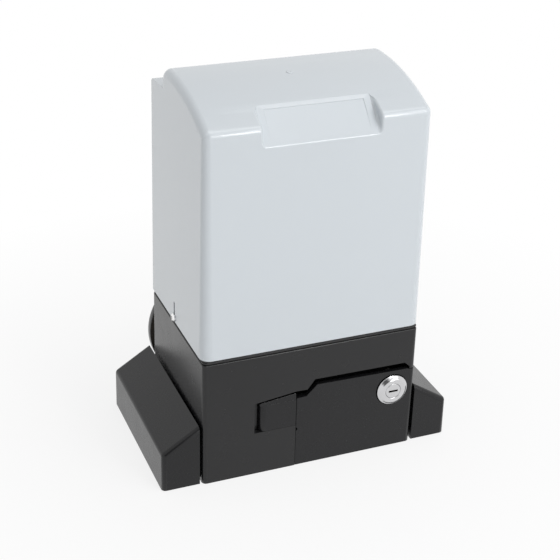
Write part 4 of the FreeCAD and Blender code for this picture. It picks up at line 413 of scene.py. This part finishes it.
def springy_copy():
    """The clutch spring shortens as the clutch slides; a copy with a mesh of its own rides on the output in its place,
    and the original is hidden.
    """
    spring = bpy.data.objects.new("clutch_spring_coil", nodes["clutch_spring"].data.copy())
    bpy.context.scene.collection.objects.link(spring)
    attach(spring, "output")
    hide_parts("clutch_spring")
    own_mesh(spring)


facet_border()
top_mark()
springy_copy()
tab_lip()
lock_shadow_ring()

# --- camera ------------------------------------------------------------------------------------------------


def place_camera():
    azimuth, elevation = CAMERA_AZIMUTH, CAMERA_ELEVATION
    back = Vector((math.sin(azimuth) * math.cos(elevation), -math.cos(azimuth) * math.cos(elevation),
                   math.sin(elevation)))
    right = Vector((math.cos(azimuth), math.sin(azimuth), 0))
    up = back.cross(right)
    across = right * math.cos(CAMERA_ROLL) + up * math.sin(CAMERA_ROLL)
    upward = up * math.cos(CAMERA_ROLL) - right * math.sin(CAMERA_ROLL)
    lens = bpy.data.cameras.new("camera")
    lens.lens, lens.sensor_width = FOCAL_LENGTH, SENSOR_WIDTH
    lens.clip_start, lens.clip_end = 0.05, 20.0
    camera = bpy.data.objects.new("camera", lens)
    bpy.context.scene.collection.objects.link(camera)
    turn = Matrix((across, upward, back)).transposed()
    camera.matrix_world = Matrix.Translation(CAMERA_TARGET + back * CAMERA_DISTANCE) @ turn.to_4x4()
    bpy.context.scene.camera = camera


place_camera()

# --- studio ------------------------------------------------------------------------------------------------


def seen_directly(tree):
    """1 for camera, gloss and glass rays, 0 for the light that falls on the object."""
    path = tree.nodes.new("ShaderNodeLightPath")
    most = path.outputs["Is Camera Ray"]
    for other in ("Is Glossy Ray", "Is Transmission Ray"):
        node = tree.nodes.new("ShaderNodeMath")
        node.operation = "MAXIMUM"
        tree.links.new(most, node.inputs[0])
        tree.links.new(path.outputs[other], node.inputs[1])
        most = node.outputs[0]
    return most


def studio_world():
    """White all round for the camera and the gloss, with one dark side, and a plain level of light on the object."""
    world = bpy.data.worlds.new("studio")
    world.use_nodes = True
    bpy.context.scene.world = world
    tree = world.node_tree
    room = tree.nodes["Background"]
    room.inputs["Color"].default_value = (1.0, 1.0, 1.0, 1.0)
    room.inputs["Strength"].default_value = ROOM_LIGHT
    white = tree.nodes.new("ShaderNodeBackground")
    white.inputs["Color"].default_value = (1.0, 1.0, 1.0, 1.0)
    aim = tree.nodes.new("ShaderNodeTexCoord")
    facing = tree.nodes.new("ShaderNodeVectorMath")
    facing.operation = "DOT_PRODUCT"
    facing.inputs[1].default_value = DARK_SIDE
    tree.links.new(aim.outputs["Generated"], facing.inputs[0])
    dim = tree.nodes.new("ShaderNodeMapRange")
    dim.interpolation_type = "SMOOTHSTEP"
    dim.inputs["From Min"].default_value, dim.inputs["From Max"].default_value = DARK_SIDE_EDGE
    dim.inputs["To Min"].default_value, dim.inputs["To Max"].default_value = 1.0, DARK_SIDE_STRENGTH
    tree.links.new(facing.outputs["Value"], dim.inputs["Value"])
    tree.links.new(dim.outputs["Result"], white.inputs["Strength"])
    blend = tree.nodes.new("ShaderNodeMixShader")
    tree.links.new(seen_directly(tree), blend.inputs["Fac"])
    tree.links.new(room.outputs[0], blend.inputs[1])
    tree.links.new(white.outputs[0], blend.inputs[2])
    tree.links.new(blend.outputs[0], tree.nodes["World Output"].inputs["Surface"])


def softbox(name, place, width, height, power):
    light = bpy.data.lights.new(name, "AREA")
    light.shape = "RECTANGLE"
    light.size, light.size_y = width, height
    light.energy = power
    lamp = bpy.data.objects.new(name, light)
    lamp.location = place
    lamp.rotation_mode = "QUATERNION"
    lamp.rotation_quaternion = (Vector(place) - Vector(LAMP_AIM)).to_track_quat("Z", "Y")
    bpy.context.scene.collection.objects.link(lamp)


def studio_floor():
    """Pale floor that takes the object's shadow and turns plain white further out."""
    reach = FLOOR_REACH
    mesh = bpy.data.meshes.new("floor")
    mesh.from_pydata([(-reach, -reach, 0), (reach, -reach, 0), (reach, reach, 0), (-reach, reach, 0)], [],
                     [(0, 1, 2, 3)])
    floor = bpy.data.objects.new("floor", mesh)
    floor.location.z = -FLOOR_DROP
    bpy.context.scene.collection.objects.link(floor)
    ground = Graph("floor")
    ground.shader.inputs["Base Color"].default_value = (0.88, 0.88, 0.88, 1)
    ground.shader.inputs["Roughness"].default_value = 0.6
    ground.shader.inputs["Specular IOR Level"].default_value = 0.2
    far = ground.add("ShaderNodeVectorMath", operation="LENGTH")
    ground.link(ground.place, far.inputs[0])
    fade = ground.span(far.outputs["Value"], FLOOR_NEAR, 1.0, *FLOOR_FADE)
    share = ground.add("ShaderNodeMath", operation="MULTIPLY")
    ground.link(fade, share.inputs[0])
    ground.link(seen_directly(ground.tree), share.inputs[1])
    glow = ground.add("ShaderNodeEmission")
    glow.inputs["Color"].default_value = (1, 1, 1, 1)
    glow.inputs["Strength"].default_value = 1.0
    blend = ground.add("ShaderNodeMixShader")
    ground.link(share.outputs[0], blend.inputs["Fac"])
    ground.link(ground.shader.outputs[0], blend.inputs[1])
    ground.link(glow.outputs[0], blend.inputs[2])
    ground.link(blend.outputs[0], ground.tree.nodes["Material Output"].inputs["Surface"])
    mesh.materials.append(ground.material)


studio_world()
for lamp in LAMPS:
    softbox(*lamp)
studio_floor()

bpy.context.scene.view_settings.view_transform = "Standard"
